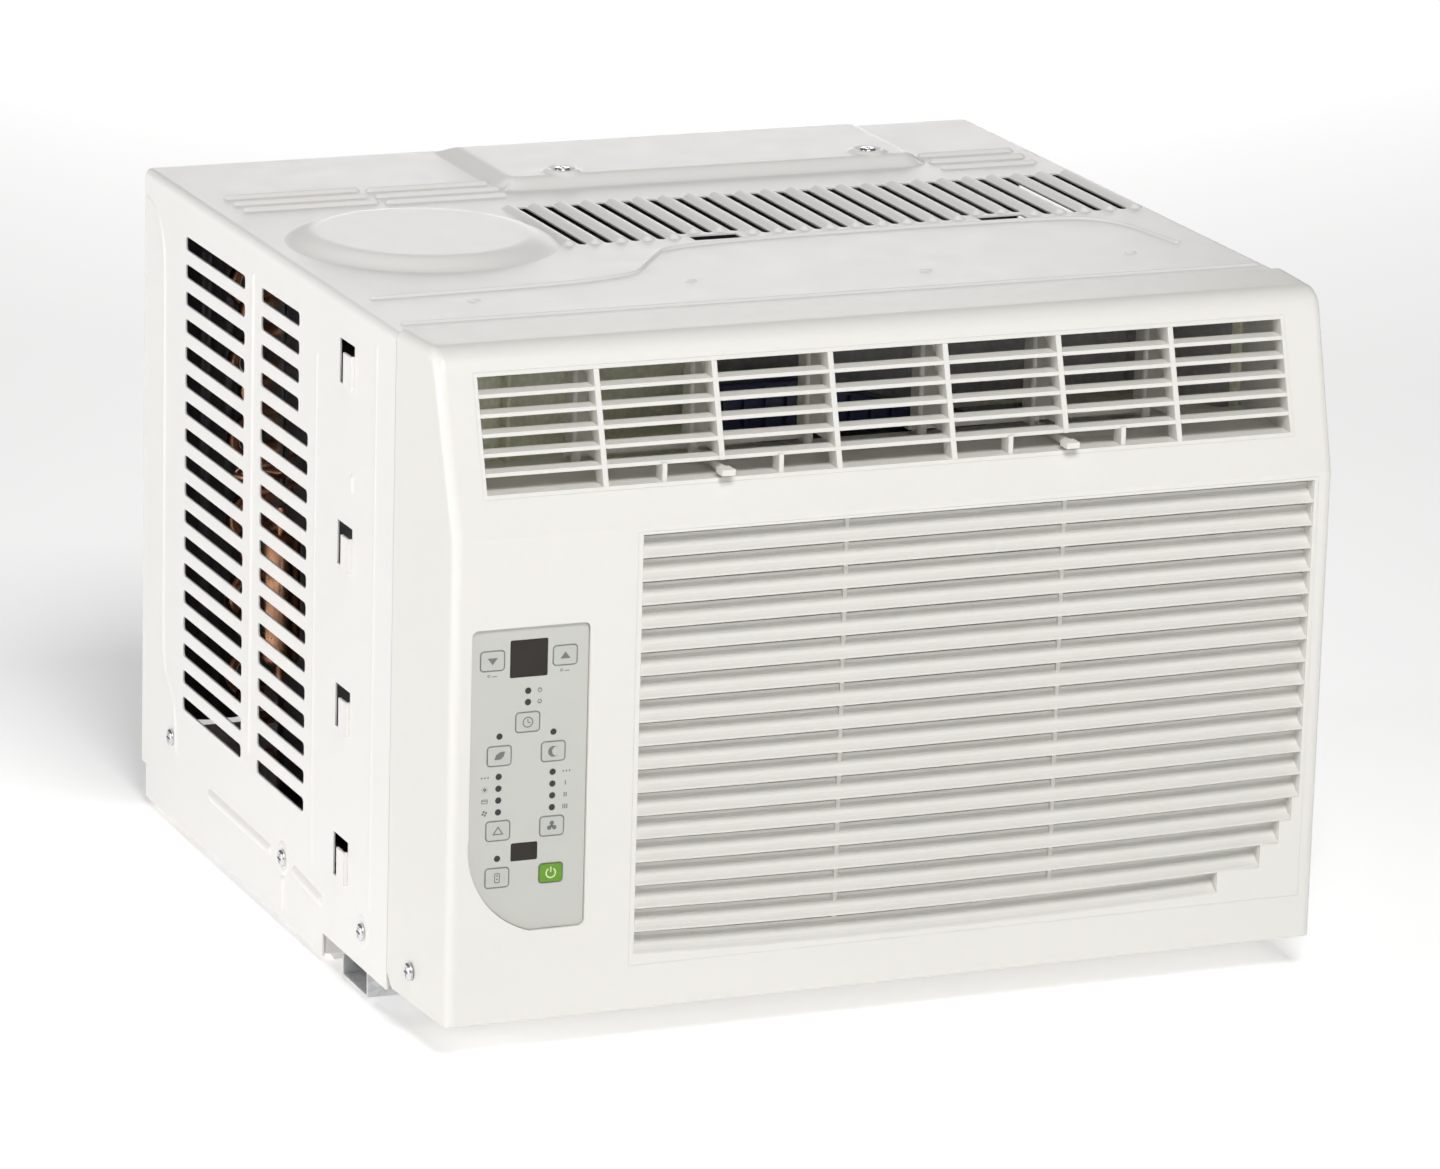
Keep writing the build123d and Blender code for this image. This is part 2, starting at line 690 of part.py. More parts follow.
def scroll_housing():
    """Spiral casing round the blower; it grows from the tongue to the outlet on top."""
    x, z = fan_axis_x, fan_z
    steps = 30
    start, end = radians(62), radians(360)
    spiral = []
    for step in range(steps + 1):
        share = step / steps
        angle = start - share * (end - start)
        radius = wheel_radius + 6 + 30 * share
        spiral.append((x + radius * cos(angle), z + radius * sin(angle)))
    top = above(253)
    outside = [(px, pz) for px, pz in spiral if pz < top]
    closed = outside + [(outside[-1][0], top), (outside[0][0], top)]
    solid = prism_y(offset(outline(closed), 2.2), behind(scroll_y[0]), behind(scroll_y[1]) + 2)
    hollow = prism_y(outline(closed), behind(scroll_y[0]) + 2, behind(scroll_y[1]))
    mouth = block(outside[-1][0], outside[0][0], behind(scroll_y[0]) + 2, behind(scroll_y[1]),
                  top - 2, top + 10)
    casing = solid - hollow - mouth
    casing -= rod_y(x, z, behind(60), behind(70), 66.0)
    casing -= rod_y(x, z, behind(110), behind(120), 14.0)
    return casing


def blower_inlet_ring():
    x, z = fan_axis_x, fan_z
    flange = ring_y(x, z, behind(scroll_y[0]) - 1.6, behind(scroll_y[0]), 74.0, 60.0)
    bell = ring_y(x, z, behind(scroll_y[0]) - 1.6, behind(scroll_y[0]) + 3.2, 62.0, 60.0)
    return flange + bell


duct_top, duct_low = 318.0, 255.4


def outlet_duct():
    """Moulded plenum from the scroll's mouth forward to the bezel's throat."""
    y0, y1 = behind(62.6), behind(118.5)
    left, right = outlet[0] - 2, outlet[1] + 2
    outer = block(left, right, y0, y1, above(duct_low), above(duct_top))
    inner = block(left + 2, right - 2, y0 - 1, y1 - 2, above(duct_low) + 2, above(duct_top) - 2)
    duct = outer - inner
    duct += prism_z(outline([(left + 1, y0), (left + 3.5, y0), (-84.0, y1 - 1), (-92.0, y1 - 1)]),
                    above(duct_low) + 1, above(duct_top) - 1)
    duct += prism_z(outline([(right - 1, y0), (right - 3.5, y0), (172.0, y1 - 1), (178.0, y1 - 1)]),
                    above(duct_low) + 1, above(duct_top) - 1)
    for x in (-178.0, -128.0):
        share = (x - left) / (-88.0 - left)
        y = y0 + share * (y1 - y0)
        duct += block(x - 1, x + 1, y - 10, y + 3, above(duct_low) + 1, above(duct_top) - 1)
    mouth = block(-48.0, 120.0, behind(scroll_y[0]) + 1, behind(scroll_y[1]),
                  above(duct_low) - 1, above(duct_low) + 4)
    return duct - mouth


def partition():
    """Insulated steel wall between the room side and the outdoor side."""
    plate = block(-pan_half + 2, pan_half - 2, behind(partition_y), behind(partition_y) + 1.5,
                  above(-1.2), above(318))
    plate -= rod_y(fan_axis_x, fan_z, behind(100), behind(140), 24.0)
    plate -= block(-140, -120, behind(100), behind(140), above(30), above(60))
    return plate


def motor_shaft():
    return rod_y(fan_axis_x, fan_z, behind(74), behind(334), shaft_radius - 0.02)


def fan_motor():
    x, z = fan_axis_x, fan_z
    can = rod_y(x, z, behind(motor_y[0]), behind(motor_y[1]), 46.0)
    can = fillet(can.edges().filter_by(GeomType.CIRCLE), 5.0)
    can += rod_y(x, z, behind(motor_y[0]) - 8, behind(motor_y[1]) + 8, 15.0)
    band = ring_y(x, z, behind(184), behind(188), 50.0, 45.0)
    return can + band - rod_y(x, z, behind(100), behind(260), shaft_radius + 0.04)


def motor_bracket():
    """Pressed cradle that carries the motor off the base pan."""
    x = fan_axis_x
    foot = block(x - 62, x + 62, behind(167), behind(212), pan_floor + sheet, pan_floor + sheet + 2)
    cheeks = []
    for y in (168.0, 206.0):
        cheeks.append(block(x - 54, x + 54, behind(y), behind(y) + 2, pan_floor + sheet, fan_z + 4))
    posts = [block(x + s * 54 - 1, x + s * 54 + 1, behind(168), behind(208), pan_floor + sheet, fan_z + 4)
             for s in (-1, 1)]
    bracket = foot + cheeks + posts
    return bracket - rod_y(x, fan_z, behind(120), behind(250), 46.3)


def condenser_fan():
    """Axial fan with a slinger ring that throws condensate on the coil."""
    x, z = fan_axis_x, fan_z
    fan = ring_y(x, z, behind(fan_y[0]), behind(fan_y[1]), 22.0, shaft_radius)
    blades = []
    for index in range(5):
        blade = block(-34, 34, behind(318) - 1.2, behind(318) + 1.2, 16, 118)
        blade = Pos(0, behind(318), 0) * Rot(0, 0, 24) * Pos(0, -behind(318), 0) * blade
        blade = blade & rod_y(0, 0, behind(290), behind(346), 117.0)
        blades.append(Pos(x, 0, z) * Rot(0, 72 * index, 0) * blade)
    fan = fan + blades
    fan += ring_y(x, z, behind(312), behind(324), 120.0, 116.0)
    return fan - rod_y(x, z, behind(290), behind(346), shaft_radius)


def condenser_shroud():
    y0, y1 = behind(shroud_y), behind(394)
    x0, x1 = -176.0, 202.0
    z0, z1 = above(6), above(316)
    shroud = block(x0, x1, y0, y1, z0, z1)
    shroud -= block(x0 + 2, x1 - 2, y0 + 2, y1 + 1, z0 + 2, z1 - 2)
    shroud -= rod_y(fan_axis_x, fan_z, y0 - 5, y0 + 10, 128.0)
    return shroud


# ---------------------------------------------------------------- compressor set

compressor_x, compressor_y = boss_x, behind(boss_behind)
compressor_base = above(10)
compressor_bolts = [(compressor_x + 62 * cos(radians(a)), compressor_y + 62 * sin(radians(a)))
                    for a in (90, 210, 330)]


def compressor():
    x, y = compressor_x, compressor_y
    base = compressor_base
    shell = rod_z(x, y, base, above(270), 54.0)
    shell = fillet(shell.edges().filter_by(GeomType.CIRCLE), 16.0)
    core = rod_z(x, y, base + 6, above(270) - 6, 48.0)
    shell -= core
    shell += Pos(x, y, above(186)) * (Cylinder(55.2, 6) - Cylinder(50, 8))
    feet = []
    for bx, by in compressor_bolts:
        feet.append(rod_z(bx, by, base - 1, base + 3, 12.0))
    plate = prism_z(outline([(bx, by) for bx, by in compressor_bolts]), base - 1, base + 3)
    shell = shell + feet + plate
    for bx, by in compressor_bolts:
        shell -= rod_z(bx, by, base - 5, base + 9, 6.5)
    return shell


def compressor_grommets():
    rings = []
    base = compressor_base
    for bx, by in compressor_bolts:
        grommet = rod_z(bx, by, pan_floor + sheet, base - 1, 10.5)
        grommet += rod_z(bx, by, base - 1, base + 5, 6.4)
        rings.append(grommet - rod_z(bx, by, 0, base + 20, 3.3))
    return Compound(children=rings)


def compressor_studs():
    studs = []
    for bx, by in compressor_bolts:
        stud = rod_z(bx, by, 1.5, compressor_base + 13, 3.0)
        stud += rod_z(bx, by, 1.5, pan_floor, 5.5)
        nut = Pos(bx, by, compressor_base + 5.2) * extrude(RegularPolygon(6.5, 6), 4.5)
        studs.append(stud + nut)
    return Compound(children=studs)


def terminal_cover():
    x, y = compressor_x, compressor_y
    cover = rod_z(x, y, above(270), above(292), 24.0)
    cover = fillet(cover.edges().group_by(Axis.Z)[-1], 5.0)
    return cover - rod_z(x, y, above(269), above(289), 21.0)


accumulator_x, accumulator_y = -168.0, behind(172.0)


def accumulator():
    x, y = accumulator_x, accumulator_y
    can = rod_z(x, y, above(70), above(200), 22.0)
    can = fillet(can.edges().filter_by(GeomType.CIRCLE), 9.0)
    can -= rod_z(x, y, above(76), above(194), 19.5)
    elbow = pipe([(x, y, above(72)), (x, y, above(46)), (x, compressor_y - 54.2, above(46))], 12.0, 4.8)
    return can + elbow


def suction_tube():
    x, y = accumulator_x, accumulator_y
    points = [(x, y, above(200)), (x, y, above(236)), (x + 38, y, above(236)), (x + 38, y, above(45)),
              (x + 38, behind(66), above(45))]
    return pipe(points, 14.0, 4.8)


def discharge_tube():
    x, y = compressor_x, compressor_y
    points = [(x - 18, y + 24, above(270)), (x - 18, y + 24, above(300)), (x - 37, y + 90, above(300)),
              (x - 37, behind(392), above(300))]
    return pipe(points, 12.0, 4.0)


def capillary_tube():
    """Fine tube wound three turns beside the drier."""
    turns, turn_radius, rise = 3, 15.0, 7.0
    coil = Helix(pitch=rise, height=turns * rise, radius=turn_radius)
    section = Plane(origin=coil @ 0, z_dir=coil % 0) * Circle(1.4)
    return Pos(-202.0, behind(352.0), above(172)) * sweep(section, coil, is_frenet=True)


def filter_drier():
    x, y = -192.0, behind(352.0)
    drier = rod_z(x, y, above(80), above(150), 9.5)
    drier = fillet(drier.edges().filter_by(GeomType.CIRCLE), 4.0)
    return drier + rod_z(x, y, above(66), above(164), 2.6)


# ---------------------------------------------------------------- small parts

def screw_x(distance, up, side_sign, head_x):
    """Pan head screw driven through a side wall."""
    x0 = head_x
    head = rod_x(behind(distance), above(up), x0, x0 + 2.2, 4.4)
    head = fillet(head.edges().sort_by(Axis.X)[-1], 1.4)
    for along, across in ((2.6, 0.5), (0.5, 2.6)):
        head -= block(x0 + 1.0, x0 + 3, behind(distance) - along, behind(distance) + along,
                      above(up) - across, above(up) + across)
    shank = rod_x(behind(distance), above(up), x0 - 5.6, x0 + 0.2, 1.6)
    screw = head + shank
    return screw if side_sign > 0 else mirror(screw, about=Plane.YZ)


def cabinet_screws():
    screws = [screw_x(d, up, s, side) for d, up in cabinet_screw_places for s in (-1, 1)]
    for x, distance in top_screw_places:
        z = cabinet_top + plateau_rise
        head = rod_z(x, behind(distance), z, z + 2.0, 4.2)
        head = fillet(head.edges().group_by(Axis.Z)[-1], 1.2)
        head -= block(x - 2.5, x + 2.5, behind(distance) - 0.5, behind(distance) + 0.5, z + 1, z + 3)
        head -= block(x - 0.5, x + 0.5, behind(distance) - 2.5, behind(distance) + 2.5, z + 1, z + 3)
        screws.append(head + rod_z(x, behind(distance), z - 6, z + 0.2, 1.6))
    return Compound(children=screws)


def bezel_screws():
    half = bezel_front_width / 2
    x = half + (side - half) * 42.3 / bezel_depth + 0.35
    return Compound(children=[screw_x(42.3, 15.6, s, x) for s in (-1, 1)])


def indicator_lights():
    return Compound(children=[
        rod_y(x, above(up), behind(panel_face) + 0.1, behind(5.0), light_radius) for x, up in light_places])


def thermistor():
    """Air temperature bulb with its clip, in front of the evaporator."""
    bulb = rod_z(-60.0, behind(18.8), above(150), above(176), 1.2)
    return bulb + block(-62.5, -57.5, behind(20.0), behind(21.0), above(156), above(168)) \
        + block(-60.8, -59.2, behind(18.8), behind(20.5), above(158), above(166))


bushing_x, bushing_behind = -196.0, 60.0


def cord_bushing():
    """Grommet in the bezel's floor where the supply cord passes."""
    x, y = bushing_x, behind(bushing_behind)
    sleeve = rod_z(x, y, above(-2), above(wall + 4), 6.9)
    flange = rod_z(x, y, above(-2), above(0), 9.5) + rod_z(x, y, above(wall), above(wall + 2), 9.0)
    return sleeve + flange - rod_z(x, y, above(-5), above(10), 4.2)


keep("cabinet", cabinet())
keep("base_pan", base_pan())
keep("sill_rail", sill_rail())
keep("front_bezel", front_bezel())
keep("outlet_louvre", outlet_louvre())
keep("intake_grille", intake_grille())
keep("control_panel", control_panel())
keep("display_window", rounded_block(display[0], display[1], display[2], display[3], 0.6,
                                     behind(panel_face) + 0.1, behind(4.6)))
keep("receiver_window", rounded_block(receiver[0], receiver[1], receiver[2], receiver[3], 0.6,
                                      behind(panel_face) + 0.1, behind(4.6)))
keep("indicator_lights", indicator_lights())
for name, place in keys.items():
    keep(name, key(*place))
keep("control_board", control_board())
keep("control_box", control_box())
keep("run_capacitor", run_capacitor())
keep("capacitor_clip", capacitor_clip())
keep("filter_frame", filter_frame())
keep("filter_mesh", filter_mesh())
for index in range(6):
    keep(f"vane_{index + 1}", vane(index))
keep("left_link_bar", link_bar(0))
keep("right_link_bar", link_bar(3))
evaporator_holes = coil_tube_places(evaporator_rows, above(45), evaporator_pitch, 10)
keep("evaporator_fins", fin_pack(*evaporator_x, behind(21), behind(49), above(34), above(250),
                                 fin_pitch, fin_thickness, evaporator_holes, tube_radius + 0.05))
keep("evaporator_tubes", coil_tubes(*evaporator_x, evaporator_rows, above(45), evaporator_pitch,
                                    10, tube_radius))
condenser_holes = coil_tube_places(condenser_rows, above(14), condenser_pitch, 14)
keep("condenser_fins", fin_pack(*condenser_x, behind(396), behind(430), pan_floor + sheet, above(314),
                                fin_pitch, fin_thickness, condenser_holes, tube_radius + 0.05))
keep("condenser_tubes", coil_tubes(*condenser_x, condenser_rows, above(14), condenser_pitch,
                                   14, tube_radius))
keep("blower_wheel", blower_wheel())
keep("scroll_housing", scroll_housing())
keep("blower_inlet_ring", blower_inlet_ring())
keep("outlet_duct", outlet_duct())
keep("partition", partition())
keep("motor_shaft", motor_shaft())
keep("fan_motor", fan_motor())
keep("motor_bracket", motor_bracket())
keep("condenser_fan", condenser_fan())
keep("condenser_shroud", condenser_shroud())
keep("compressor", compressor())
keep("compressor_grommets", compressor_grommets())
keep("compressor_studs", compressor_studs())
keep("terminal_cover", terminal_cover())
keep("accumulator", accumulator())
keep("suction_tube", suction_tube())
keep("discharge_tube", discharge_tube())
keep("capillary_tube", capillary_tube())
keep("filter_drier", filter_drier())
keep("cabinet_screws", cabinet_screws())
keep("bezel_screws", bezel_screws())
keep("thermistor", thermistor())
keep("cord_bushing", cord_bushing())

for name, shape in nodes.items():
    export_step(shape, f"parts/{name}.step")
print(len(nodes), "nodes")
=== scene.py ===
import json
import math
import random

import bpy
import numpy as np
from mathutils import Matrix, Vector

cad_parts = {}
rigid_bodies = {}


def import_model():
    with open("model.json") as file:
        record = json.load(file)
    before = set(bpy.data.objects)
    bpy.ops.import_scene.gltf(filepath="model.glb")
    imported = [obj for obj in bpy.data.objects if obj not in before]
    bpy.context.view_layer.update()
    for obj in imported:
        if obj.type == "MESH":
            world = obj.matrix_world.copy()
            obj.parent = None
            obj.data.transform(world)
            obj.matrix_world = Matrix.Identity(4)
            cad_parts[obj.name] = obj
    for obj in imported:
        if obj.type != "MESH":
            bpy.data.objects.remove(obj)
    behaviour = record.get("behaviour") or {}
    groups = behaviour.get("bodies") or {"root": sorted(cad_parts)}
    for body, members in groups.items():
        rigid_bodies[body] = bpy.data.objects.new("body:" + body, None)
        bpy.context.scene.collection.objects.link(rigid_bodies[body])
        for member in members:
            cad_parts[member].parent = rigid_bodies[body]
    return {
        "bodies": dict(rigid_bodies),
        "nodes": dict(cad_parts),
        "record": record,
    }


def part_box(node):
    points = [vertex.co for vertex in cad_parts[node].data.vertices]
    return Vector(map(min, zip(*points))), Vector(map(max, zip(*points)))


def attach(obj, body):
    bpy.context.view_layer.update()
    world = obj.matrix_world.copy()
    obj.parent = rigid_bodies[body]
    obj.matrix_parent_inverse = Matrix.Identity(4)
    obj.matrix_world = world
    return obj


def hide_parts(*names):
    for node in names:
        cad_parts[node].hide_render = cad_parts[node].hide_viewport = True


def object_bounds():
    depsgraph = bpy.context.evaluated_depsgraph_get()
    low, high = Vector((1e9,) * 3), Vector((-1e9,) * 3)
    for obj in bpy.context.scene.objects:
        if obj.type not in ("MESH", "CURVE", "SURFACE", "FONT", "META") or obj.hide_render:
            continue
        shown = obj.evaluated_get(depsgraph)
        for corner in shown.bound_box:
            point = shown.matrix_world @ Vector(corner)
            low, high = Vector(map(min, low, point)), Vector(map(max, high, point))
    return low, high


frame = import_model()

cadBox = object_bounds()
nodes = frame["nodes"]
mm = 0.001
rearLip = cadBox[1][1] - 1.6 * mm    # the cabinet's inner faces get painted shade as far back as this
print("frame loaded:", len(nodes), "nodes")


# shader building

class Value:
    # a socket that takes part in plain arithmetic
    def __init__(self, shade, socket):
        self.shade = shade
        self.socket = socket

    def maths(self, operation, *others):
        inputs = {0: self}
        for place, other in enumerate(others):
            inputs[place + 1] = other
        return self.shade.node("ShaderNodeMath", {"operation": operation}, inputs).out(0)

    def __add__(self, other):
        return self.maths("ADD", other)

    def __radd__(self, other):
        return self.maths("ADD", other)

    def __sub__(self, other):
        return self.maths("SUBTRACT", other)

    def __rsub__(self, other):
        return self.shade.node("ShaderNodeMath", {"operation": "SUBTRACT"}, {0: other, 1: self}).out(0)

    def __mul__(self, other):
        return self.maths("MULTIPLY", other)

    def __rmul__(self, other):
        return self.maths("MULTIPLY", other)


class Made:
    def __init__(self, shade, node):
        self.shade = shade
        self.node = node

    def out(self, which=0):
        return Value(self.shade, self.node.outputs[which])


class Shade:
    # one material and its nodes
    def __init__(self, name):
        self.material = bpy.data.materials.new(name)
        self.material.use_nodes = True
        self.tree = self.material.node_tree
        self.tree.nodes.clear()
        self.surface = self.node("ShaderNodeBsdfPrincipled")
        output = self.node("ShaderNodeOutputMaterial")
        self.tree.links.new(self.surface.node.outputs[0], output.node.inputs["Surface"])

    def node(self, kind, settings=None, inputs=None):
        made = self.tree.nodes.new(kind)
        for key, value in (settings or {}).items():
            if key == "stops":
                ramp = made.color_ramp
                while len(ramp.elements) < len(value):
                    ramp.elements.new(0.5)
                for element, (place, colour) in zip(ramp.elements, value):
                    element.position = place
                    element.color = colour if len(colour) == 4 else (*colour, 1)
            else:
                setattr(made, key, value)
        for key, value in (inputs or {}).items():
            self.feed(made.inputs[key], value)
        return Made(self, made)

    def feed(self, socket, value):
        if isinstance(value, Value):
            self.tree.links.new(value.socket, socket)
        elif hasattr(value, "__len__") and len(value) == 3 and len(socket.default_value) == 4:
            socket.default_value = (*value, 1)
        else:
            socket.default_value = value

    def set(self, **values):
        for key, value in values.items():
            self.feed(self.surface.node.inputs[key.replace("_", " ")], value)

    def place(self):
        return self.node("ShaderNodeTexCoord").out("Object")

    def within(self, halfWidth, low, high):
        # 1 between the two sides and the two heights, and 0 outside them: the cabinet's inner faces, where
        # shade is painted
        where = self.node("ShaderNodeSeparateXYZ", {}, {0: self.place()})
        sideways = where.out(0).maths("ABSOLUTE").maths("LESS_THAN", halfWidth)
        height = where.out(2)
        corner = (where.out(0).maths("ABSOLUTE") + height).maths("LESS_THAN", halfWidth + high - 0.0022)
        ahead = where.out(1).maths("LESS_THAN", rearLip)
        between = height.maths("GREATER_THAN", low) * height.maths("LESS_THAN", high)
        return sideways * corner * ahead * between

    def noise(self, scale, detail=3.0, rough=0.55, stretch=None):
        where = self.place()
        if stretch:
            stretched = self.node("ShaderNodeVectorMath", {"operation": "MULTIPLY"}, {0: where, 1: stretch})
            where = stretched.out(0)
        return self.node("ShaderNodeTexNoise", {}, {
            "Vector": where, "Scale": scale, "Detail": detail, "Roughness": rough}).out(0)

    def cells(self, scale, feature="F1", which=0):
        return self.node("ShaderNodeTexVoronoi", {"feature": feature}, {
            "Vector": self.place(), "Scale": scale}).out(which)

    def ramp(self, value, low, high):
        return self.node("ShaderNodeMapRange", {}, {
            "Value": value, "From Min": low[0], "From Max": high[0],
            "To Min": low[1], "To Max": high[1]}).out(0)

    def blend(self, factor, first, second):
        return self.node("ShaderNodeMix", {"data_type": "RGBA"}, {0: factor, 6: first, 7: second}).out(2)

    def bump(self, height, distance, strength=1.0, edge=0.0):
        inputs = {"Height": height, "Distance": distance, "Strength": strength}
        if edge:
            inputs["Normal"] = self.node("ShaderNodeBevel", {"samples": 4}, {"Radius": edge}).out(0)
        self.set(Normal=self.node("ShaderNodeBump", {}, inputs).out(0))


def paintedSteel():
    look = {"colour": (0.86, 0.842, 0.818), "dusty": (0.815, 0.796, 0.766), "roughness": 0.36,
            "paintedShade": (0.035, 0.035, 0.036), "paintedShadeDark": (0.02, 0.02, 0.02),
            "insideX": 0.2341, "insideLow": 0.046, "insideHigh": 0.3421}
    shade = Shade("paintedSteel")
    patch = shade.ramp(shade.noise(9.0, 4.0), (0.35, 0.0), (0.75, 0.22))
    outside = shade.blend(patch, look["colour"], look["dusty"])
    # painted shade: the cabinet's inner faces are coloured near black, in place of the shade that falls in
    # the wrapper
    paintedShade = shade.blend(shade.noise(35.0), look["paintedShade"], look["paintedShadeDark"])
    paintedShadeMask = shade.within(look["insideX"], look["insideLow"], look["insideHigh"])
    shade.set(Base_Color=shade.blend(paintedShadeMask, outside, paintedShade))
    shade.set(Roughness=look["roughness"] + shade.noise(60.0) * 0.10)
    shade.set(Specular_IOR_Level=0.5)
    peel = shade.noise(420.0, 2.0) + shade.noise(1500.0, 2.0) * 0.35
    shade.bump(peel, 0.00006, 0.55, edge=0.0005)
    return shade.material


def bezelPlastic():
    look = {"colour": (0.79, 0.776, 0.737), "aged": (0.765, 0.751, 0.712), "roughness": 0.36}
    shade = Shade("bezelPlastic")
    patch = shade.ramp(shade.noise(7.0, 3.0), (0.35, 0.0), (0.8, 0.35))
    shade.set(Base_Color=shade.blend(patch, look["colour"], look["aged"]))
    shade.set(Roughness=look["roughness"] + shade.noise(90.0) * 0.10)
    shade.set(Subsurface_Weight=0.04, Subsurface_Scale=0.002)
    grain = shade.noise(2600.0, 2.0) + shade.noise(700.0, 2.0) * 0.6
    shade.bump(grain, 0.00004, 0.5, edge=0.0005)
    return shade.material


def galvanisedSteel():
    look = {"light": (0.78, 0.79, 0.80), "dark": (0.64, 0.65, 0.66)}
    shade = Shade("galvanisedSteel")
    spangle = shade.cells(260.0, which="Color")
    tone = shade.node("ShaderNodeSeparateColor", {}, {0: spangle}).out(0)
    shade.set(Base_Color=shade.blend(tone, look["light"], look["dark"]))
    shade.set(Metallic=0.55, Roughness=0.38 + tone * 0.22)
    shade.bump(shade.noise(500.0), 0.00004, 0.4, edge=0.0004)
    return shade.material


def panelGrey():
    look = {"colour": (0.575, 0.575, 0.538), "worn": (0.545, 0.545, 0.508)}
    shade = Shade("panelGrey")
    shade.set(Base_Color=shade.blend(shade.noise(30.0), look["colour"], look["worn"]))
    shade.set(Roughness=0.40 + shade.noise(140.0) * 0.10)
    shade.bump(shade.noise(3000.0, 2.0), 0.00003, 0.5, edge=0.0003)
    return shade.material


def keyPlastic(name, colour):
    shade = Shade(name)
    darker = tuple(channel * 0.93 for channel in colour)
    shade.set(Base_Color=shade.blend(shade.noise(120.0), colour, darker))
    shade.set(Roughness=0.33 + shade.noise(400.0) * 0.10)
    shade.bump(shade.noise(3000.0, 2.0), 0.00003, 0.4, edge=0.0003)
    return shade.material


def darkWindow():
    shade = Shade("darkWindow")
    shade.set(Base_Color=shade.blend(shade.noise(80.0), (0.026, 0.022, 0.019), (0.034, 0.030, 0.026)))
    shade.set(Roughness=0.20 + shade.noise(200.0) * 0.10, Specular_IOR_Level=0.22)
    shade.bump(shade.noise(150.0), 0.00002, 0.3, edge=0.0003)
    return shade.material


def printedInk(name, colour):
    shade = Shade(name)
    lighter = tuple(min(1.0, channel * 1.18) for channel in colour)
    shade.set(Base_Color=shade.blend(shade.noise(900.0), colour, lighter))
    shade.set(Roughness=0.48 + shade.noise(500.0) * 0.12)
    shade.bump(shade.noise(4000.0, 2.0), 0.00001, 0.4)
    return shade.material


def circuitBoard():
    shade = Shade("circuitBoard")
    tracks = shade.ramp(shade.cells(220.0, "DISTANCE_TO_EDGE"), (0.03, 1.0), (0.06, 0.0))
    shade.set(Base_Color=shade.blend(tracks, (0.03, 0.16, 0.06), (0.09, 0.30, 0.10)))
    shade.set(Roughness=0.30 + shade.noise(300.0) * 0.1)
    shade.bump(tracks, 0.00005, 0.6)
    return shade.material


def copperTube():
    look = {"bright": (0.80, 0.42, 0.25), "tarnish": (0.40, 0.19, 0.11)}
    shade = Shade("copperTube")
    stain = shade.ramp(shade.noise(45.0, 5.0, 0.65), (0.38, 0.0), (0.72, 1.0))
    shade.set(Base_Color=shade.blend(stain, look["bright"], look["tarnish"]))
    shade.set(Metallic=1.0, Roughness=0.24 + stain * 0.28)
    shade.bump(shade.noise(700.0, 3.0, 0.5, (1, 0.2, 1)), 0.00005, 0.4)
    return shade.material


def finAluminium():
    shade = Shade("finAluminium")
    streak = shade.noise(240.0, 3.0, 0.6, (1, 1, 0.12))
    shade.set(Base_Color=shade.blend(streak, (0.78, 0.79, 0.80), (0.56, 0.57, 0.585)))
    shade.set(Metallic=0.95, Roughness=0.30 + streak * 0.25)
    shade.bump(shade.noise(1200.0, 2.0), 0.00005, 0.5)
    return shade.material


def glossPaint(name, colour, roughness=0.22):
    shade = Shade(name)
    faded = tuple(channel * 1.5 + 0.01 for channel in colour)
    worn = shade.ramp(shade.noise(18.0, 5.0), (0.45, 0.0), (0.8, 0.5))
    shade.set(Base_Color=shade.blend(worn, colour, faded))
    shade.set(Roughness=roughness + shade.noise(70.0, 4.0) * 0.18, Coat_Weight=0.25)
    shade.bump(shade.noise(380.0, 2.0), 0.00008, 0.5, edge=0.0005)
    return shade.material


def mouldedFoam(name, colour):
    shade = Shade(name)
    bead = shade.cells(330.0)
    darker = tuple(channel * 0.86 for channel in colour)
    shade.set(Base_Color=shade.blend(shade.ramp(bead, (0.1, 0.0), (0.7, 1.0)), colour, darker))
    shade.set(Roughness=0.72 + shade.noise(120.0) * 0.12)
    shade.bump(1 - bead, 0.00035, 0.6, edge=0.0008)
    return shade.material


def blackRubber():
    shade = Shade("blackRubber")
    shade.set(Base_Color=shade.blend(shade.noise(50.0), (0.018, 0.018, 0.018), (0.045, 0.043, 0.04)))
    shade.set(Roughness=0.62 + shade.noise(200.0) * 0.2)
    shade.bump(shade.noise(1600.0), 0.00006, 0.6, edge=0.0004)
    return shade.material


def bladePlastic():
    shade = Shade("bladePlastic")
    shade.set(Base_Color=shade.blend(shade.noise(25.0), (0.016, 0.022, 0.075), (0.03, 0.04, 0.11)))
    shade.set(Roughness=0.32 + shade.noise(200.0) * 0.15)
    shade.bump(shade.noise(1800.0, 2.0), 0.00004, 0.5, edge=0.0004)
    return shade.material


def zincSteel():
    shade = Shade("zincSteel")
    shade.set(Base_Color=shade.blend(shade.noise(300.0), (0.78, 0.78, 0.79), (0.60, 0.60, 0.62)))
    shade.set(Metallic=1.0, Roughness=0.20 + shade.noise(500.0) * 0.16)
    shade.bump(shade.noise(1500.0, 2.0), 0.00003, 0.5, edge=0.0003)
    return shade.material


def filterPlastic(name, colour):
    shade = Shade(name)
    dusty = tuple(channel * 0.6 + 0.16 for channel in colour)
    dust = shade.ramp(shade.noise(22.0, 4.0), (0.5, 0.0), (0.85, 0.5))
    shade.set(Base_Color=shade.blend(dust, colour, dusty))
    shade.set(Roughness=0.46 + shade.noise(200.0) * 0.12)
    shade.bump(shade.noise(2200.0, 2.0), 0.00004, 0.5, edge=0.0003)
    return shade.material


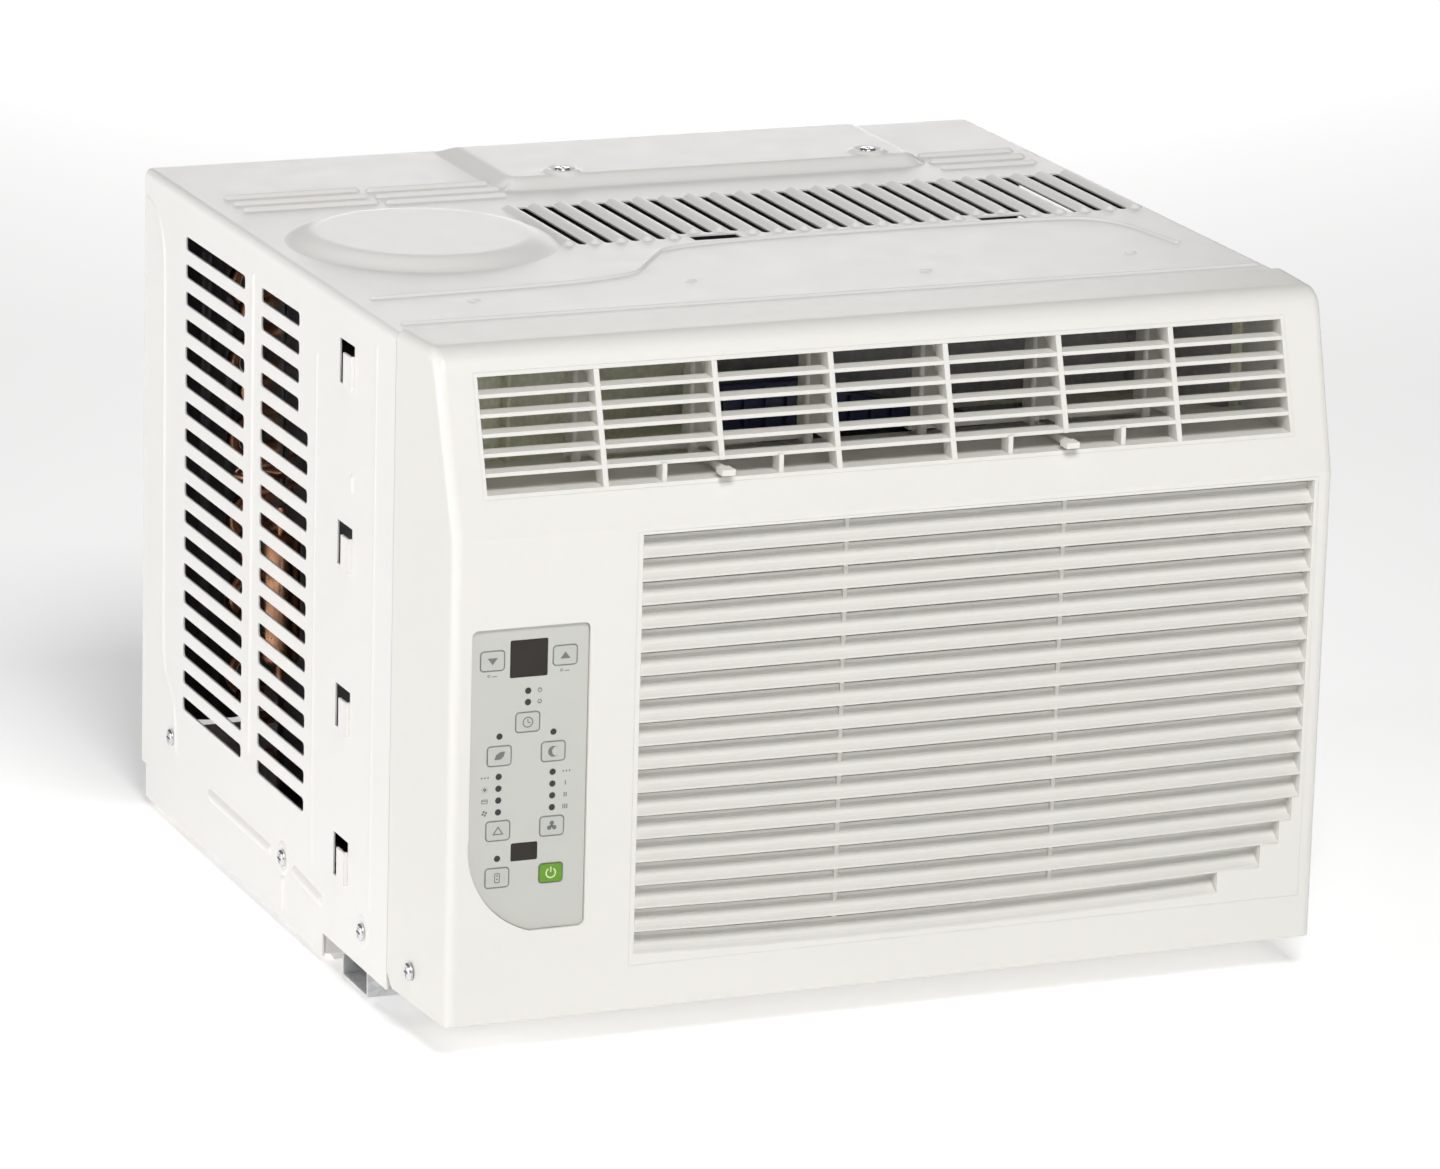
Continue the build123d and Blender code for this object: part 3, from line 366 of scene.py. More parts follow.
finishes = {
    "painted_steel": paintedSteel(),
    "bezel_plastic": bezelPlastic(),
    "galvanised": galvanisedSteel(),
    "panel_grey": panelGrey(),
    "dark_window": darkWindow(),
    "light_pipe": keyPlastic("lightPipe", (0.030, 0.028, 0.028)),
    "key_plastic": keyPlastic("keyPlastic", (0.535, 0.545, 0.508)),
    "power_green": keyPlastic("powerGreen", (0.132, 0.305, 0.014)),
    "board": circuitBoard(),
    "capacitor_can": zincSteel(),
    "filter_plastic": filterPlastic("filterPlastic", (0.10, 0.12, 0.16)),
    "filter_net": filterPlastic("filterNet", (0.14, 0.17, 0.21)),
    "fin_aluminium": finAluminium(),
    "copper": copperTube(),
    "blower_plastic": bladePlastic(),
    "duct_foam": mouldedFoam("ductFoam", (0.42, 0.41, 0.42)),
    "duct_cream": mouldedFoam("ductCream", (0.93, 0.95, 0.76)),
    "bright_steel": zincSteel(),
    "motor_paint": glossPaint("motorPaint", (0.05, 0.05, 0.055), 0.34),
    "compressor_black": glossPaint("compressorBlack", (0.012, 0.012, 0.013)),
    "rubber": blackRubber(),
    "zinc_steel": zincSteel(),
}
for row in frame["record"]["subparts"]:
    mesh = nodes[row["node"]].data
    mesh.materials.clear()
    mesh.materials.append(finishes[row["material_slot"]])
print("finishes on", len(nodes), "nodes")


# places: distance behind the bezel face and height above its lower edge, in millimetres

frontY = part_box("front_bezel")[0].y / mm
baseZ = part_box("front_bezel")[0].z / mm
sheetTop = baseZ + 324.0
sideX = 235.0    # half the cabinet's width, without the lances


def spot(x, distance, height):
    return (x * mm, (frontY + distance) * mm, (baseZ + height) * mm)


def makePiece(name, points, faces, slot, body, finish=None, smooth=True, stands=()):
    mesh = bpy.data.meshes.new(name)
    mesh.from_pydata([tuple(point) for point in points], [], [tuple(face) for face in faces])
    mesh.validate()
    mesh.update()
    mesh.polygons.foreach_set("use_smooth", [smooth] * len(mesh.polygons))
    mesh.materials.append(finish or finishes[slot])
    piece = bpy.data.objects.new(name, mesh)
    bpy.context.scene.collection.objects.link(piece)
    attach(piece, body)
    if stands:
        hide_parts(*stands)
    return piece


# pressings of the steel wrapper: height fields that rise out of the flat sheet

def toLine(gridU, gridV, points):
    # distance from every grid place to a line of points
    nearest = np.full(gridU.shape, 1e9)
    for (u0, v0), (u1, v1) in zip(points[:-1], points[1:]):
        du = u1 - u0
        dv = v1 - v0
        share = ((gridU - u0) * du + (gridV - v0) * dv) / (du * du + dv * dv + 1e-9)
        share = np.clip(share, 0, 1)
        nearest = np.minimum(nearest, np.hypot(gridU - u0 - share * du, gridV - v0 - share * dv))
    return nearest


def swell(distance, half, rise, bury=0.2):
    wave = 0.5 + 0.5 * np.cos(np.pi * np.clip(distance / half, 0, 1))
    return (rise + bury) * wave - bury


def ramped(value, start, stop):
    share = np.clip((value - start) / (stop - start), 0, 1)
    return share * share * (3 - 2 * share)


def softened(points, rounds=3):
    # cut corners until the line bends gently
    for step in range(rounds):
        cut = [points[0]]
        for (u0, v0), (u1, v1) in zip(points[:-1], points[1:]):
            cut.append((0.75 * u0 + 0.25 * u1, 0.75 * v0 + 0.25 * v1))
            cut.append((0.25 * u0 + 0.75 * u1, 0.25 * v0 + 0.75 * v1))
        cut.append(points[-1])
        points = cut
    return points


class Pressing:
    # gathers the raised places of one flat panel into one mesh
    def __init__(self, place):
        self.place = place
        self.points = []
        self.faces = []

    def field(self, low, high, step, heightAt):
        us = np.arange(low[0], high[0] + step[0], step[0])
        vs = np.arange(low[1], high[1] + step[1], step[1])
        gridU, gridV = np.meshgrid(us, vs)
        height = heightAt(gridU, gridV)
        raised = height > -0.19
        cells = raised[:-1, :-1] | raised[1:, :-1] | raised[:-1, 1:] | raised[1:, 1:]
        used = np.zeros(height.shape, bool)
        for dv in (0, 1):
            for du in (0, 1):
                used[dv:dv + cells.shape[0], du:du + cells.shape[1]] |= cells
        number = np.full(height.shape, -1)
        number[used] = np.arange(used.sum()) + len(self.points)
        for u, v, h in zip(gridU[used], gridV[used], height[used]):
            self.points.append(self.place(u, v, h))
        for row, column in np.argwhere(cells):
            corners = (number[row, column], number[row, column + 1],
                       number[row + 1, column + 1], number[row + 1, column])
            self.faces.append([int(corner) for corner in corners])

    def bead(self, points, half, rise, step=0.9):
        us = [point[0] for point in points]
        vs = [point[1] for point in points]
        edge = half + step
        self.field((min(us) - edge, min(vs) - edge), (max(us) + edge, max(vs) + edge), (step, step),
                   lambda u, v: swell(toLine(u, v, points), half, rise))


topPressings = {
    "ridgeRows": {"first": -79.5, "pitch": 14.25, "count": 22, "from": 222.0, "to": 314.0, "half": 4.7,
                  "rise": 2.3, "holes": (-9.0, 150.0)},
    "boss": {"x": -154.8, "distance": 252.4, "outer": 71.0, "inner": 52.0, "rise": 5.15},
    "plateau": {"left": -74.0, "right": 164.0, "front": 350.0, "slope": 13.0, "rise": 5.15},
    "groups": [[(-217, -148, 370.6), (-217, -148, 356.0), (-217, -148, 341.4)],
               [(-141, -78, 368.0), (-141, -77, 353.6), (-141, -78, 339.0)],
               [(170, 221, 369.0), (170, 221, 353.8), (170, 221, 338.6)]],
    "stepLine": [(-220.6, 143.1), (-84.0, 147.8), (-61.8, 181.9), (-38.0, 212.9), (165.8, 215.6),
                 (203.2, 206.0), (211.9, 145.9)],
    "frontLine": [(-224.0, 90.5), (228.6, 90.5)],
    "pips": [(-175.0, 126.0), (-58.0, 136.0), (63.0, 124.0), (179.0, 132.0)],
    "screwRings": [(-36.0, 365.0), (138.0, 367.0)],
}


def pressTop():
    look = topPressings
    top = Pressing(lambda u, v, h: (u * mm, (frontY + v) * mm, (sheetTop + h) * mm))
    ridge = look["ridgeRows"]
    for index in range(ridge["count"] + 1):
        x = ridge["first"] + (index - 0.5) * ridge["pitch"]
        line = [(x, ridge["from"] + 4), (x, ridge["to"] - 4)]
        if min(abs(x - hole) for hole in ridge["holes"]) < 15:
            line[0] = (x, 235.0)
        top.bead(line, ridge["half"], ridge["rise"], 0.95)
    boss = look["boss"]
    middle = (boss["x"], boss["distance"])
    top.field((middle[0] - 73, middle[1] - 73), (middle[0] + 73, middle[1] + 73), (1.6, 1.6),
              lambda u, v: (boss["rise"] + 0.2) * ramped(
                  -np.hypot(u - middle[0], v - middle[1]), -boss["outer"], -boss["inner"]) - 0.2)
    pad = look["plateau"]

    def plateauHeight(u, v):
        sideways = np.maximum(pad["left"] - 5 - u, u - pad["right"] - 5)
        forward = pad["front"] - 5 - v
        corner = np.hypot(np.maximum(sideways + 16, 0), np.maximum(forward + 16, 0)) - 16
        away = np.where((sideways > -16) & (forward > -16), corner, np.maximum(sideways, forward))
        height = (pad["rise"] + 0.2) * ramped(-away, 0, pad["slope"]) - 0.2
        rear = ramped(v, 449.8, 433.0)
        height = np.minimum(height, (pad["rise"] + 0.2) * rear - 0.2)
        for x, distance in look["screwRings"]:
            ring = np.abs(np.hypot(u - x, v - distance) - 7.6)
            height = height + 1.5 * (0.5 + 0.5 * np.cos(np.pi * np.clip(ring / 3.2, 0, 1)))
        return height

    top.field((pad["left"] - 8, pad["front"] - 8), (pad["right"] + 8, 449.8), (1.3, 1.3), plateauHeight)
    for group in look["groups"]:
        for x0, x1, v in group:
            top.bead([(x0, v), (x1, v)], 3.4, 1.9)
    top.bead(softened(look["stepLine"]), 2.6, 1.3, 0.8)
    top.bead(look["frontLine"], 2.8, 1.1)
    for x, v in look["pips"]:
        top.bead([(x - 1.2, v), (x + 1.2, v)], 3.4, 0.9, 0.6)
    return makePiece("topPressings", top.points, top.faces, "painted_steel", "housing")


sidePressings = {
    "beads": [([(445.5, 309.0), (430.0, 306.0), (419.0, 294.0), (416.0, 272.0), (416.0, 78.0), (413.0, 64.0),
                (402.0, 54.0), (395.0, 46.0), (393.0, 24.0)], 3.4, 0.9),
              ([(277.5, 306.0), (277.5, 58.0)], 3.2, 0.9),
              ([(182.0, 288.0), (182.0, 24.0)], 2.0, 0.5),
              ([(97.0, 312.0), (97.0, 30.0)], 2.0, 0.5),
              ([(337.0, 16.9), (243.0, 15.9)], 4.4, 1.5),
              ([(205.0, 16.0), (167.0, 13.0)], 4.4, 1.5),
              ([(223.0, 6.0), (223.0, -7.0)], 4.0, 1.2),
              ([(129.6, 238.5), (129.2, 233.5)], 3.6, 1.0)],
    "screwRings": [(223.0, 17.7), (106.0, 15.6)],
}


def pressSide(name, sign):
    side = Pressing(lambda u, v, h: (sign * (sideX + h) * mm, (frontY + u) * mm, (baseZ + v) * mm))
    for points, half, rise in sidePressings["beads"]:
        side.bead(softened(points) if len(points) > 2 else points, half, rise)
    for u0, v0 in sidePressings["screwRings"]:
        side.field((u0 - 12, v0 - 12), (u0 + 12, v0 + 12), (0.8, 0.8),
                   lambda u, v: swell(np.abs(np.hypot(u - u0, v - v0) - 7.0), 3.0, 0.5))
    if sign > 0:
        side.faces = [face[::-1] for face in side.faces]
    side.faces = [face[::-1] for face in side.faces]
    return makePiece(name, side.points, side.faces, "painted_steel", "housing")


pressTop()
pressSide("leftPressings", -1)
pressSide("rightPressings", 1)
print("pressings made")


# printed marks on the control panel

ink = printedInk("greyInk", (0.155, 0.16, 0.155))
paleInk = printedInk("paleInk", (0.62, 0.74, 0.42))
rimInk = printedInk("rimInk", (0.25, 0.255, 0.245))


class Marks:
    # flat ink shapes that face the room, a hair in front of a surface
    def __init__(self, distance):
        self.distance = distance
        self.points = []
        self.faces = []

    def fill(self, outline):
        start = len(self.points)
        self.points += [spot(x, self.distance, z) for x, z in outline]
        self.faces.append(tuple(range(start, start + len(outline))))

    def band(self, outer, inner):
        start = len(self.points)
        count = len(outer)
        self.points += [spot(x, self.distance, z) for x, z in list(outer) + list(inner)]
        for step in range(count):
            after = (step + 1) % count
            self.faces.append((start + step, start + after, start + count + after, start + count + step))

    def stroke(self, line, thick):
        half = thick / 2
        for (x0, z0), (x1, z1) in zip(line[:-1], line[1:]):
            length = math.hypot(x1 - x0, z1 - z0)
            nx = -(z1 - z0) / length * half
            nz = (x1 - x0) / length * half
            self.fill([(x0 + nx, z0 + nz), (x0 - nx, z0 - nz), (x1 - nx, z1 - nz), (x1 + nx, z1 + nz)])


def arc(x, z, radius, start=0, stop=360, count=24):
    angles = np.radians(np.linspace(start, stop, count, endpoint=stop - start < 360))
    return [(x + radius * math.cos(angle), z + radius * math.sin(angle)) for angle in angles]


def roundedFrame(x, z, wide, tall, radius):
    corners = ((1, 1, 0), (-1, 1, 90), (-1, -1, 180), (1, -1, 270))
    line = []
    for signX, signZ, turn in corners:
        cornerX = x + signX * (wide / 2 - radius)
        cornerZ = z + signZ * (tall / 2 - radius)
        line += arc(cornerX, cornerZ, radius, turn, turn + 90, 6)
    return line


def downMark(marks, x, z):
    marks.fill([(x - 2.6, z + 1.5), (x, z - 1.9), (x + 2.6, z + 1.5)])


def upMark(marks, x, z):
    marks.fill([(x - 2.6, z - 1.6), (x + 2.6, z - 1.6), (x, z + 1.8)])


def clockMark(marks, x, z):
    marks.band(arc(x, z, 2.7), arc(x, z, 2.15))
    marks.stroke([(x, z + 1.6), (x, z), (x + 1.3, z - 0.5)], 0.5)


def leafMark(marks, x, z):
    marks.fill([(x - 2.6, z - 1.6), (x - 1.6, z + 0.8), (x + 0.6, z + 2.1), (x + 2.9, z + 2.2),
                (x + 2.3, z - 0.1), (x + 0.7, z - 1.6), (x - 1.4, z - 1.8)])


def moonMark(marks, x, z):
    outer = arc(x, z, 2.7, 55, 305, 18)
    inner = arc(x + 1.7, z, 2.35, 70, 290, 18)
    for step in range(17):
        marks.fill([outer[step], outer[step + 1], inner[step + 1], inner[step]])


def modeMark(marks, x, z):
    outer = [(x - 2.9, z - 1.9), (x + 2.9, z - 1.9), (x, z + 2.5)]
    inner = [(x - 1.8, z - 1.35), (x + 1.8, z - 1.35), (x, z + 1.4)]
    marks.band(outer, inner)


def fanMark(marks, x, z):
    for turn in (90, 210, 330):
        angle = math.radians(turn)
        marks.fill(arc(x + 1.5 * math.cos(angle), z + 1.5 * math.sin(angle), 1.15, count=14))
    marks.fill(arc(x, z, 0.7, count=12))


def handsetMark(marks, x, z):
    marks.band(roundedFrame(x, z, 2.8, 5.0, 0.7), roundedFrame(x, z, 1.9, 4.1, 0.4))
    marks.fill(arc(x, z + 1.1, 0.45, count=10))
    marks.fill(arc(x, z - 0.6, 0.45, count=10))


def powerRing(marks, x, z):
    outer = arc(x, z, 2.7, 122, 418, 28)
    inner = arc(x, z, 2.05, 122, 418, 28)
    for step in range(27):
        marks.fill([outer[step], outer[step + 1], inner[step + 1], inner[step]])
    marks.stroke([(x, z + 0.4), (x, z + 3.1)], 0.65)


keyMarks = {
    "temperature_down_key": downMark, "temperature_up_key": upMark, "timer_key": clockMark,
    "energy_key": leafMark, "sleep_key": moonMark, "mode_key": modeMark, "fan_key": fanMark,
    "follow_key": handsetMark, "power_key": powerRing,
}


def centreOf(node):
    low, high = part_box(node)
    middle = (low + high) / 2
    return middle.x / mm, middle.z / mm - baseZ


keyRim = {"outer": (12.9, 10.5, 2.1), "inner": (12.1, 9.7, 1.7), "sunk": 0.30, "proud": 0.03}


def printKeys():
    look = keyRim
    for node, draw in keyMarks.items():
        low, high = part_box(node)
        x, z = centreOf(node)
        face = low.y / mm - frontY
        rim = Marks(face + look["sunk"])
        rim.band(roundedFrame(x, z, *look["outer"]), roundedFrame(x, z, *look["inner"]))
        makePiece(node + "_rim", rim.points, rim.faces, "light_pipe", "housing", rimInk, False)
        marks = Marks(face - look["proud"])
        draw(marks, x, z)
        body = node if node in frame["bodies"] else "housing"
        power = node == "power_key"
        slot = "bezel_plastic" if power else "light_pipe"
        makePiece(node + "_mark", marks.points, marks.faces, slot, body, paleInk if power else ink, False)


legendLook = {"top": 122.9, "pitch": 5.87, "speeds": -171.6, "modes": -212.6,
              "clocks": (-185.6, 164.2, 158.6), "arrows": ((-209.9, -173.1), 173.0)}


def printLegends():
    # small pictures beside the lights: speeds as bars, modes as a sun, a box and a fan
    look = legendLook
    marks = Marks(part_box("control_panel")[0].y / mm - frontY - keyRim["proud"])
    for row in range(4):
        z = look["top"] - look["pitch"] * row
        for bar in range(row if row else 3):
            x = look["speeds"] + bar * 1.0 - (row - 1) * 0.5 if row else look["speeds"] - 1.2 + bar * 1.6
            if row:
                marks.fill([(x - 0.28, z - 1.1), (x + 0.28, z - 1.1),
                            (x + 0.28, z + 1.1), (x - 0.28, z + 1.1)])
            else:
                marks.fill(arc(x, z, 0.45, count=10))
        x = look["modes"]
        if row == 0:
            for dot in range(3):
                marks.fill(arc(x - 1.6 + dot * 1.6, z, 0.45, count=10))
        elif row == 1:
            marks.fill(arc(x, z, 0.85, count=14))
            for turn in range(0, 360, 45):
                angle = math.radians(turn)
                marks.stroke([(x + 1.15 * math.cos(angle), z + 1.15 * math.sin(angle)),
                              (x + 1.65 * math.cos(angle), z + 1.65 * math.sin(angle))], 0.3)
        elif row == 2:
            marks.band(roundedFrame(x, z, 3.2, 2.2, 0.4), roundedFrame(x, z, 2.5, 1.5, 0.2))
            marks.stroke([(x - 1.2, z + 0.2), (x + 1.2, z + 0.2)], 0.35)
        else:
            for turn in (0, 90, 180, 270):
                angle = math.radians(turn + 20)
                marks.fill(arc(x + 0.95 * math.cos(angle), z + 0.95 * math.sin(angle), 0.6, count=10))
    x, startClock, stopClock = look["clocks"]
    for z, hand in ((startClock, 0.9), (stopClock, -0.9)):
        marks.band(arc(x, z, 1.15, count=16), arc(x, z, 0.75, count=16))
        marks.stroke([(x, z), (x, z + hand)], 0.35)
    columns, z = look["arrows"]
    for x in columns:
        marks.band(arc(x - 1.7, z, 0.75, count=12), arc(x - 1.7, z, 0.42, count=12))
        marks.stroke([(x - 0.2, z - 0.4), (x + 2.4, z - 0.4)], 0.4)
    makePiece("panelLegends", marks.points, marks.faces, "light_pipe", "housing", ink, False)


printKeys()
printLegends()
print("control panel printed")


# coils: fins as thin and as close as real ones

finLook = {
    "condenser": {"pitch": 1.8, "thick": 0.16, "waves": 5, "wave": 0.32},
    "evaporator": {"pitch": 1.6, "thick": 0.14, "waves": 4, "wave": 0.28},
}


def packFins(name, look, node):
    low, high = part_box(node)
    x0, y0, z0 = (value / mm for value in low)
    x1, y1, z1 = (value / mm for value in high)
    steps = look["waves"] * 2
    ys = [y0 + 0.2 + (y1 - y0 - 0.4) * step / steps for step in range(steps + 1)]
    points = []
    faces = []
    count = int((x1 - x0 - 4) / look["pitch"])
    spare = random.Random(len(name))
    for index in range(count + 1):
        plate = index in (0, count)
        x = x0 + 0.8 + (x1 - x0 - 1.6) * index / count
        thick = 1.5 if plate else look["thick"]
        wave = 0 if plate else look["wave"]
        lean = 0 if plate else spare.uniform(-0.22, 0.22)
        start = len(points)
        for step, y in enumerate(ys):
            shift = wave * (1 if step % 2 else -1) + lean * (step / steps)
            for side in (-0.5, 0.5):
                for z in (z0 + 0.1, z1 - 0.1):
                    points.append(((x + shift + side * thick) * mm, y * mm, z * mm))
        for step in range(steps):
            near = start + step * 4
            far = near + 4
            faces += [(near, near + 1, far + 1, far), (near + 3, near + 2, far + 2, far + 3),
                      (near + 1, near + 3, far + 3, far + 1), (near + 2, near, far, far + 2)]
        last = start + steps * 4
        faces += [(start, start + 2, start + 3, start + 1), (last, last + 1, last + 3, last + 2)]
    return makePiece(name, points, faces, "fin_aluminium", "housing", smooth=False, stands=(node,))


packFins("condenserFins", finLook["condenser"], "condenser_fins")
packFins("evaporatorFins", finLook["evaporator"], "evaporator_fins")
print("coils finned")


# filter net: threads that pass over and under each other

netLook = {"pitch": 3.4, "thread": 0.34, "crimp": 0.16}


def weaveNet():
    look = netLook
    low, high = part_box("filter_mesh")
    x0, z0 = low.x / mm, low.z / mm
    x1, z1 = high.x / mm, high.z / mm
    y = (low.y + high.y) / 2 / mm
    columns = int((x1 - x0) / look["pitch"])
    rows = int((z1 - z0) / look["pitch"])
    xs = np.linspace(x0 + 0.3, x1 - 0.3, columns + 1)
    zs = np.linspace(z0 + 0.3, z1 - 0.3, rows + 1)
    half = look["thread"] / 2
    points = []
    faces = []
    for upright in (True, False):
        along = zs if upright else xs
        across = xs if upright else zs
        for line, fixed in enumerate(across):
            start = len(points)
            for step, moving in enumerate(along):
                over = 1 if (line + step + upright) % 2 else -1
                deep = y + over * (look["crimp"] - 0.06)
                for side, depth in ((-half, 0), (0, -half * 0.6), (half, 0), (0, half * 0.6)):
                    if upright:
                        points.append(((fixed + side) * mm, (deep + depth) * mm, moving * mm))
                    else:
                        points.append((moving * mm, (deep + depth) * mm, (fixed + side) * mm))
            for step in range(len(along) - 1):
                for corner in range(4):
                    a = start + step * 4 + corner
                    b = start + step * 4 + (corner + 1) % 4
                    faces.append((a, b, b + 4, a + 4))
    return makePiece("filterNet", points, faces, "filter_net", "air_filter", stands=("filter_mesh",))


weaveNet()
print("filter net woven")


# blower wheel with cupped blades, and the casing nose under the outlet

wheelLook = {"blades": 44, "outer": 85.2, "inner": 70.5, "sweep": 15.0, "thick": 1.0, "steps": 6}


def cupBlades():
    look = wheelLook
    low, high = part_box("blower_wheel")
    middleX = (low.x + high.x) / 2 / mm
    middleZ = (low.z + high.z) / 2 / mm
    y0, y1 = low.y / mm, high.y / mm
    points = []
    faces = []

    def ringBand(radius0, radius1, ya, yb, count=96):
        start = len(points)
        for step in range(count):
            angle = 2 * math.pi * step / count
            for radius, y in ((radius0, ya), (radius1, ya), (radius1, yb), (radius0, yb)):
                points.append(((middleX + radius * math.sin(angle)) * mm, y * mm,
                               (middleZ + radius * math.cos(angle)) * mm))
        for step in range(count):
            for corner in range(4):
                a = start + step * 4 + corner
                b = start + step * 4 + (corner + 1) % 4
                c = start + ((step + 1) % count) * 4
                faces.append((a, c + corner, c + (corner + 1) % 4, b))

    ringBand(look["inner"], 86.0, y0, y0 + 2.2)
    ringBand(4.0, 86.0, y1 - 2.2, y1)
    ringBand(4.0, 13.0, y1 - 22, y1 - 2.2)
    for index in range(look["blades"]):
        base = 2 * math.pi * index / look["blades"]
        start = len(points)
        for step in range(look["steps"] + 1):
            share = step / look["steps"]
            radius = look["inner"] + (look["outer"] - look["inner"]) * share
            bend = math.radians(look["sweep"]) * (share * share * 0.55 - share * 0.12)
            for side in (-0.5, 0.5):
                angle = base + bend + side * look["thick"] / radius
                for y in (y0 + 1, y1 - 1):
                    points.append(((middleX + radius * math.sin(angle)) * mm, y * mm,
                                   (middleZ + radius * math.cos(angle)) * mm))
        for step in range(look["steps"]):
            near = start + step * 4
            far = near + 4
            faces.extend([(near, near + 1, far + 1, far), (near + 3, near + 2, far + 2, far + 3),
                          (near + 1, near + 3, far + 3, far + 1), (near + 2, near, far, far + 2)])
    return makePiece("bladedWheel", points, faces, "blower_plastic", "rotor", smooth=False,
                     stands=("blower_wheel",))


cupBlades()

noseLook = {
    "top": [(-66.0, 284.5), (-22.0, 284.5), (-8.0, 281.5), (5.0, 277.0), (20.0, 272.2), (36.0, 267.4),
            (52.0, 263.4), (72.0, 259.4)],
    "low": 257.8, "front": 82.0, "back": 97.0, "round": 2.0,
}


def liningPoints(sections):
    # a sheet through matching rows of places
    points = [spot(*place) for row in sections for place in row]
    wide = len(sections[0])
    faces = []
    for row in range(len(sections) - 1):
        for column in range(wide - 1):
            a = row * wide + column
            faces.append((a, a + 1, a + wide + 1, a + wide))
    return points, faces


def makeNose():
    look = noseLook
    rows = []
    for x, z in look["top"]:
        rows.append([(x, look["front"], look["low"]), (x, look["front"], z - look["round"]),
                     (x, look["front"] + 0.6, z - 0.6), (x, look["front"] + look["round"], z),
                     (x, look["back"], z), (x, look["back"], look["low"])])
    points, faces = liningPoints(rows)
    makePiece("casingNose", points, faces, "blower_plastic", "housing", smooth=False)
    ribs = []
    ribFaces = []
    for step in range(12):
        x = -62.0 + step * 11.2
        top = float(np.interp(x, [place[0] for place in look["top"]], [place[1] for place in look["top"]]))
        start = len(ribs)
        for y in (look["front"] - 3.0, look["front"] + 1):
            for dx in (-0.8, 0.8):
                ribs.append(spot(x + dx, y, look["low"]))
                ribs.append(spot(x + dx, y, top - 2.2))
        for quad in ((0, 1, 3, 2), (0, 4, 5, 1), (2, 3, 7, 6), (1, 5, 7, 3)):
            ribFaces.append(tuple(start + corner for corner in quad))
    makePiece("noseRibs", ribs, ribFaces, "blower_plastic", "housing", smooth=False)


def lineDuct():
    # grey insulation on the back, roof and right side of the air way
    back = [(-53.0, 116.0), (171.0, 116.0), (204.0, 65.0)]
    sections = []
    for x, y in back:
        sections.append([(x, y, 258.2), (x, y, 286.0), (x, y, 314.6)])
    points, faces = liningPoints(sections)
    makePiece("ductLining", points, faces, "duct_foam", "housing", smooth=False)
    roof = []
    for y in (64.0, 90.0, 116.0):
        forward = 116 - y
        left = -53.0 - forward * 0.42
        right = 171.0 + forward * 0.64
        roof.append([(left, y, 315.2), (40.0, y, 315.2), (right, y, 315.2)])
    points, faces = liningPoints(roof)
    makePiece("ductRoof", points, faces, "duct_foam", "housing", smooth=False)


makeNose()
lineDuct()
print("air way lined")


# ribbed sheets that close the gaps between the condenser's ends and the cabinet

baffleLook = {"gaps": ((-233.4, -179.0), (205.0, 233.4)), "back": 442.0, "rib": 1.8, "pitch": 13.0,
              "thick": 0.9, "low": 25.0, "high": 317.0}


def closeEnds():
    look = baffleLook
    points = []
    faces = []
    for x0, x1 in look["gaps"]:
        steps = int((x1 - x0) / 1.5)
        outline = []
        for side in (0, 1):
            for step in range(steps + 1):
                share = step / steps if side == 0 else 1 - step / steps
                x = x0 + (x1 - x0) * share
                rib = look["rib"] * math.sin(math.pi * (x - x0) / look["pitch"]) ** 2
                outline.append((x, look["back"] - rib + side * look["thick"]))
        start = len(points)
        count = len(outline)
        for z in (look["low"], look["high"]):
            points += [spot(x, y, z) for x, y in outline]
        for step in range(count):
            after = (step + 1) % count
            faces.append((start + step, start + after, start + count + after, start + count + step))
        half = steps + 1
        for level in (start, start + count):
            for step in range(steps):
                back = level + 2 * half - 1 - step
                faces.append((level + step, level + step + 1, back - 1, back))
    makePiece("endBaffles", points, faces, "motor_paint", "housing", smooth=False)


closeEnds()
print("ends closed")


# camera, lights and floor

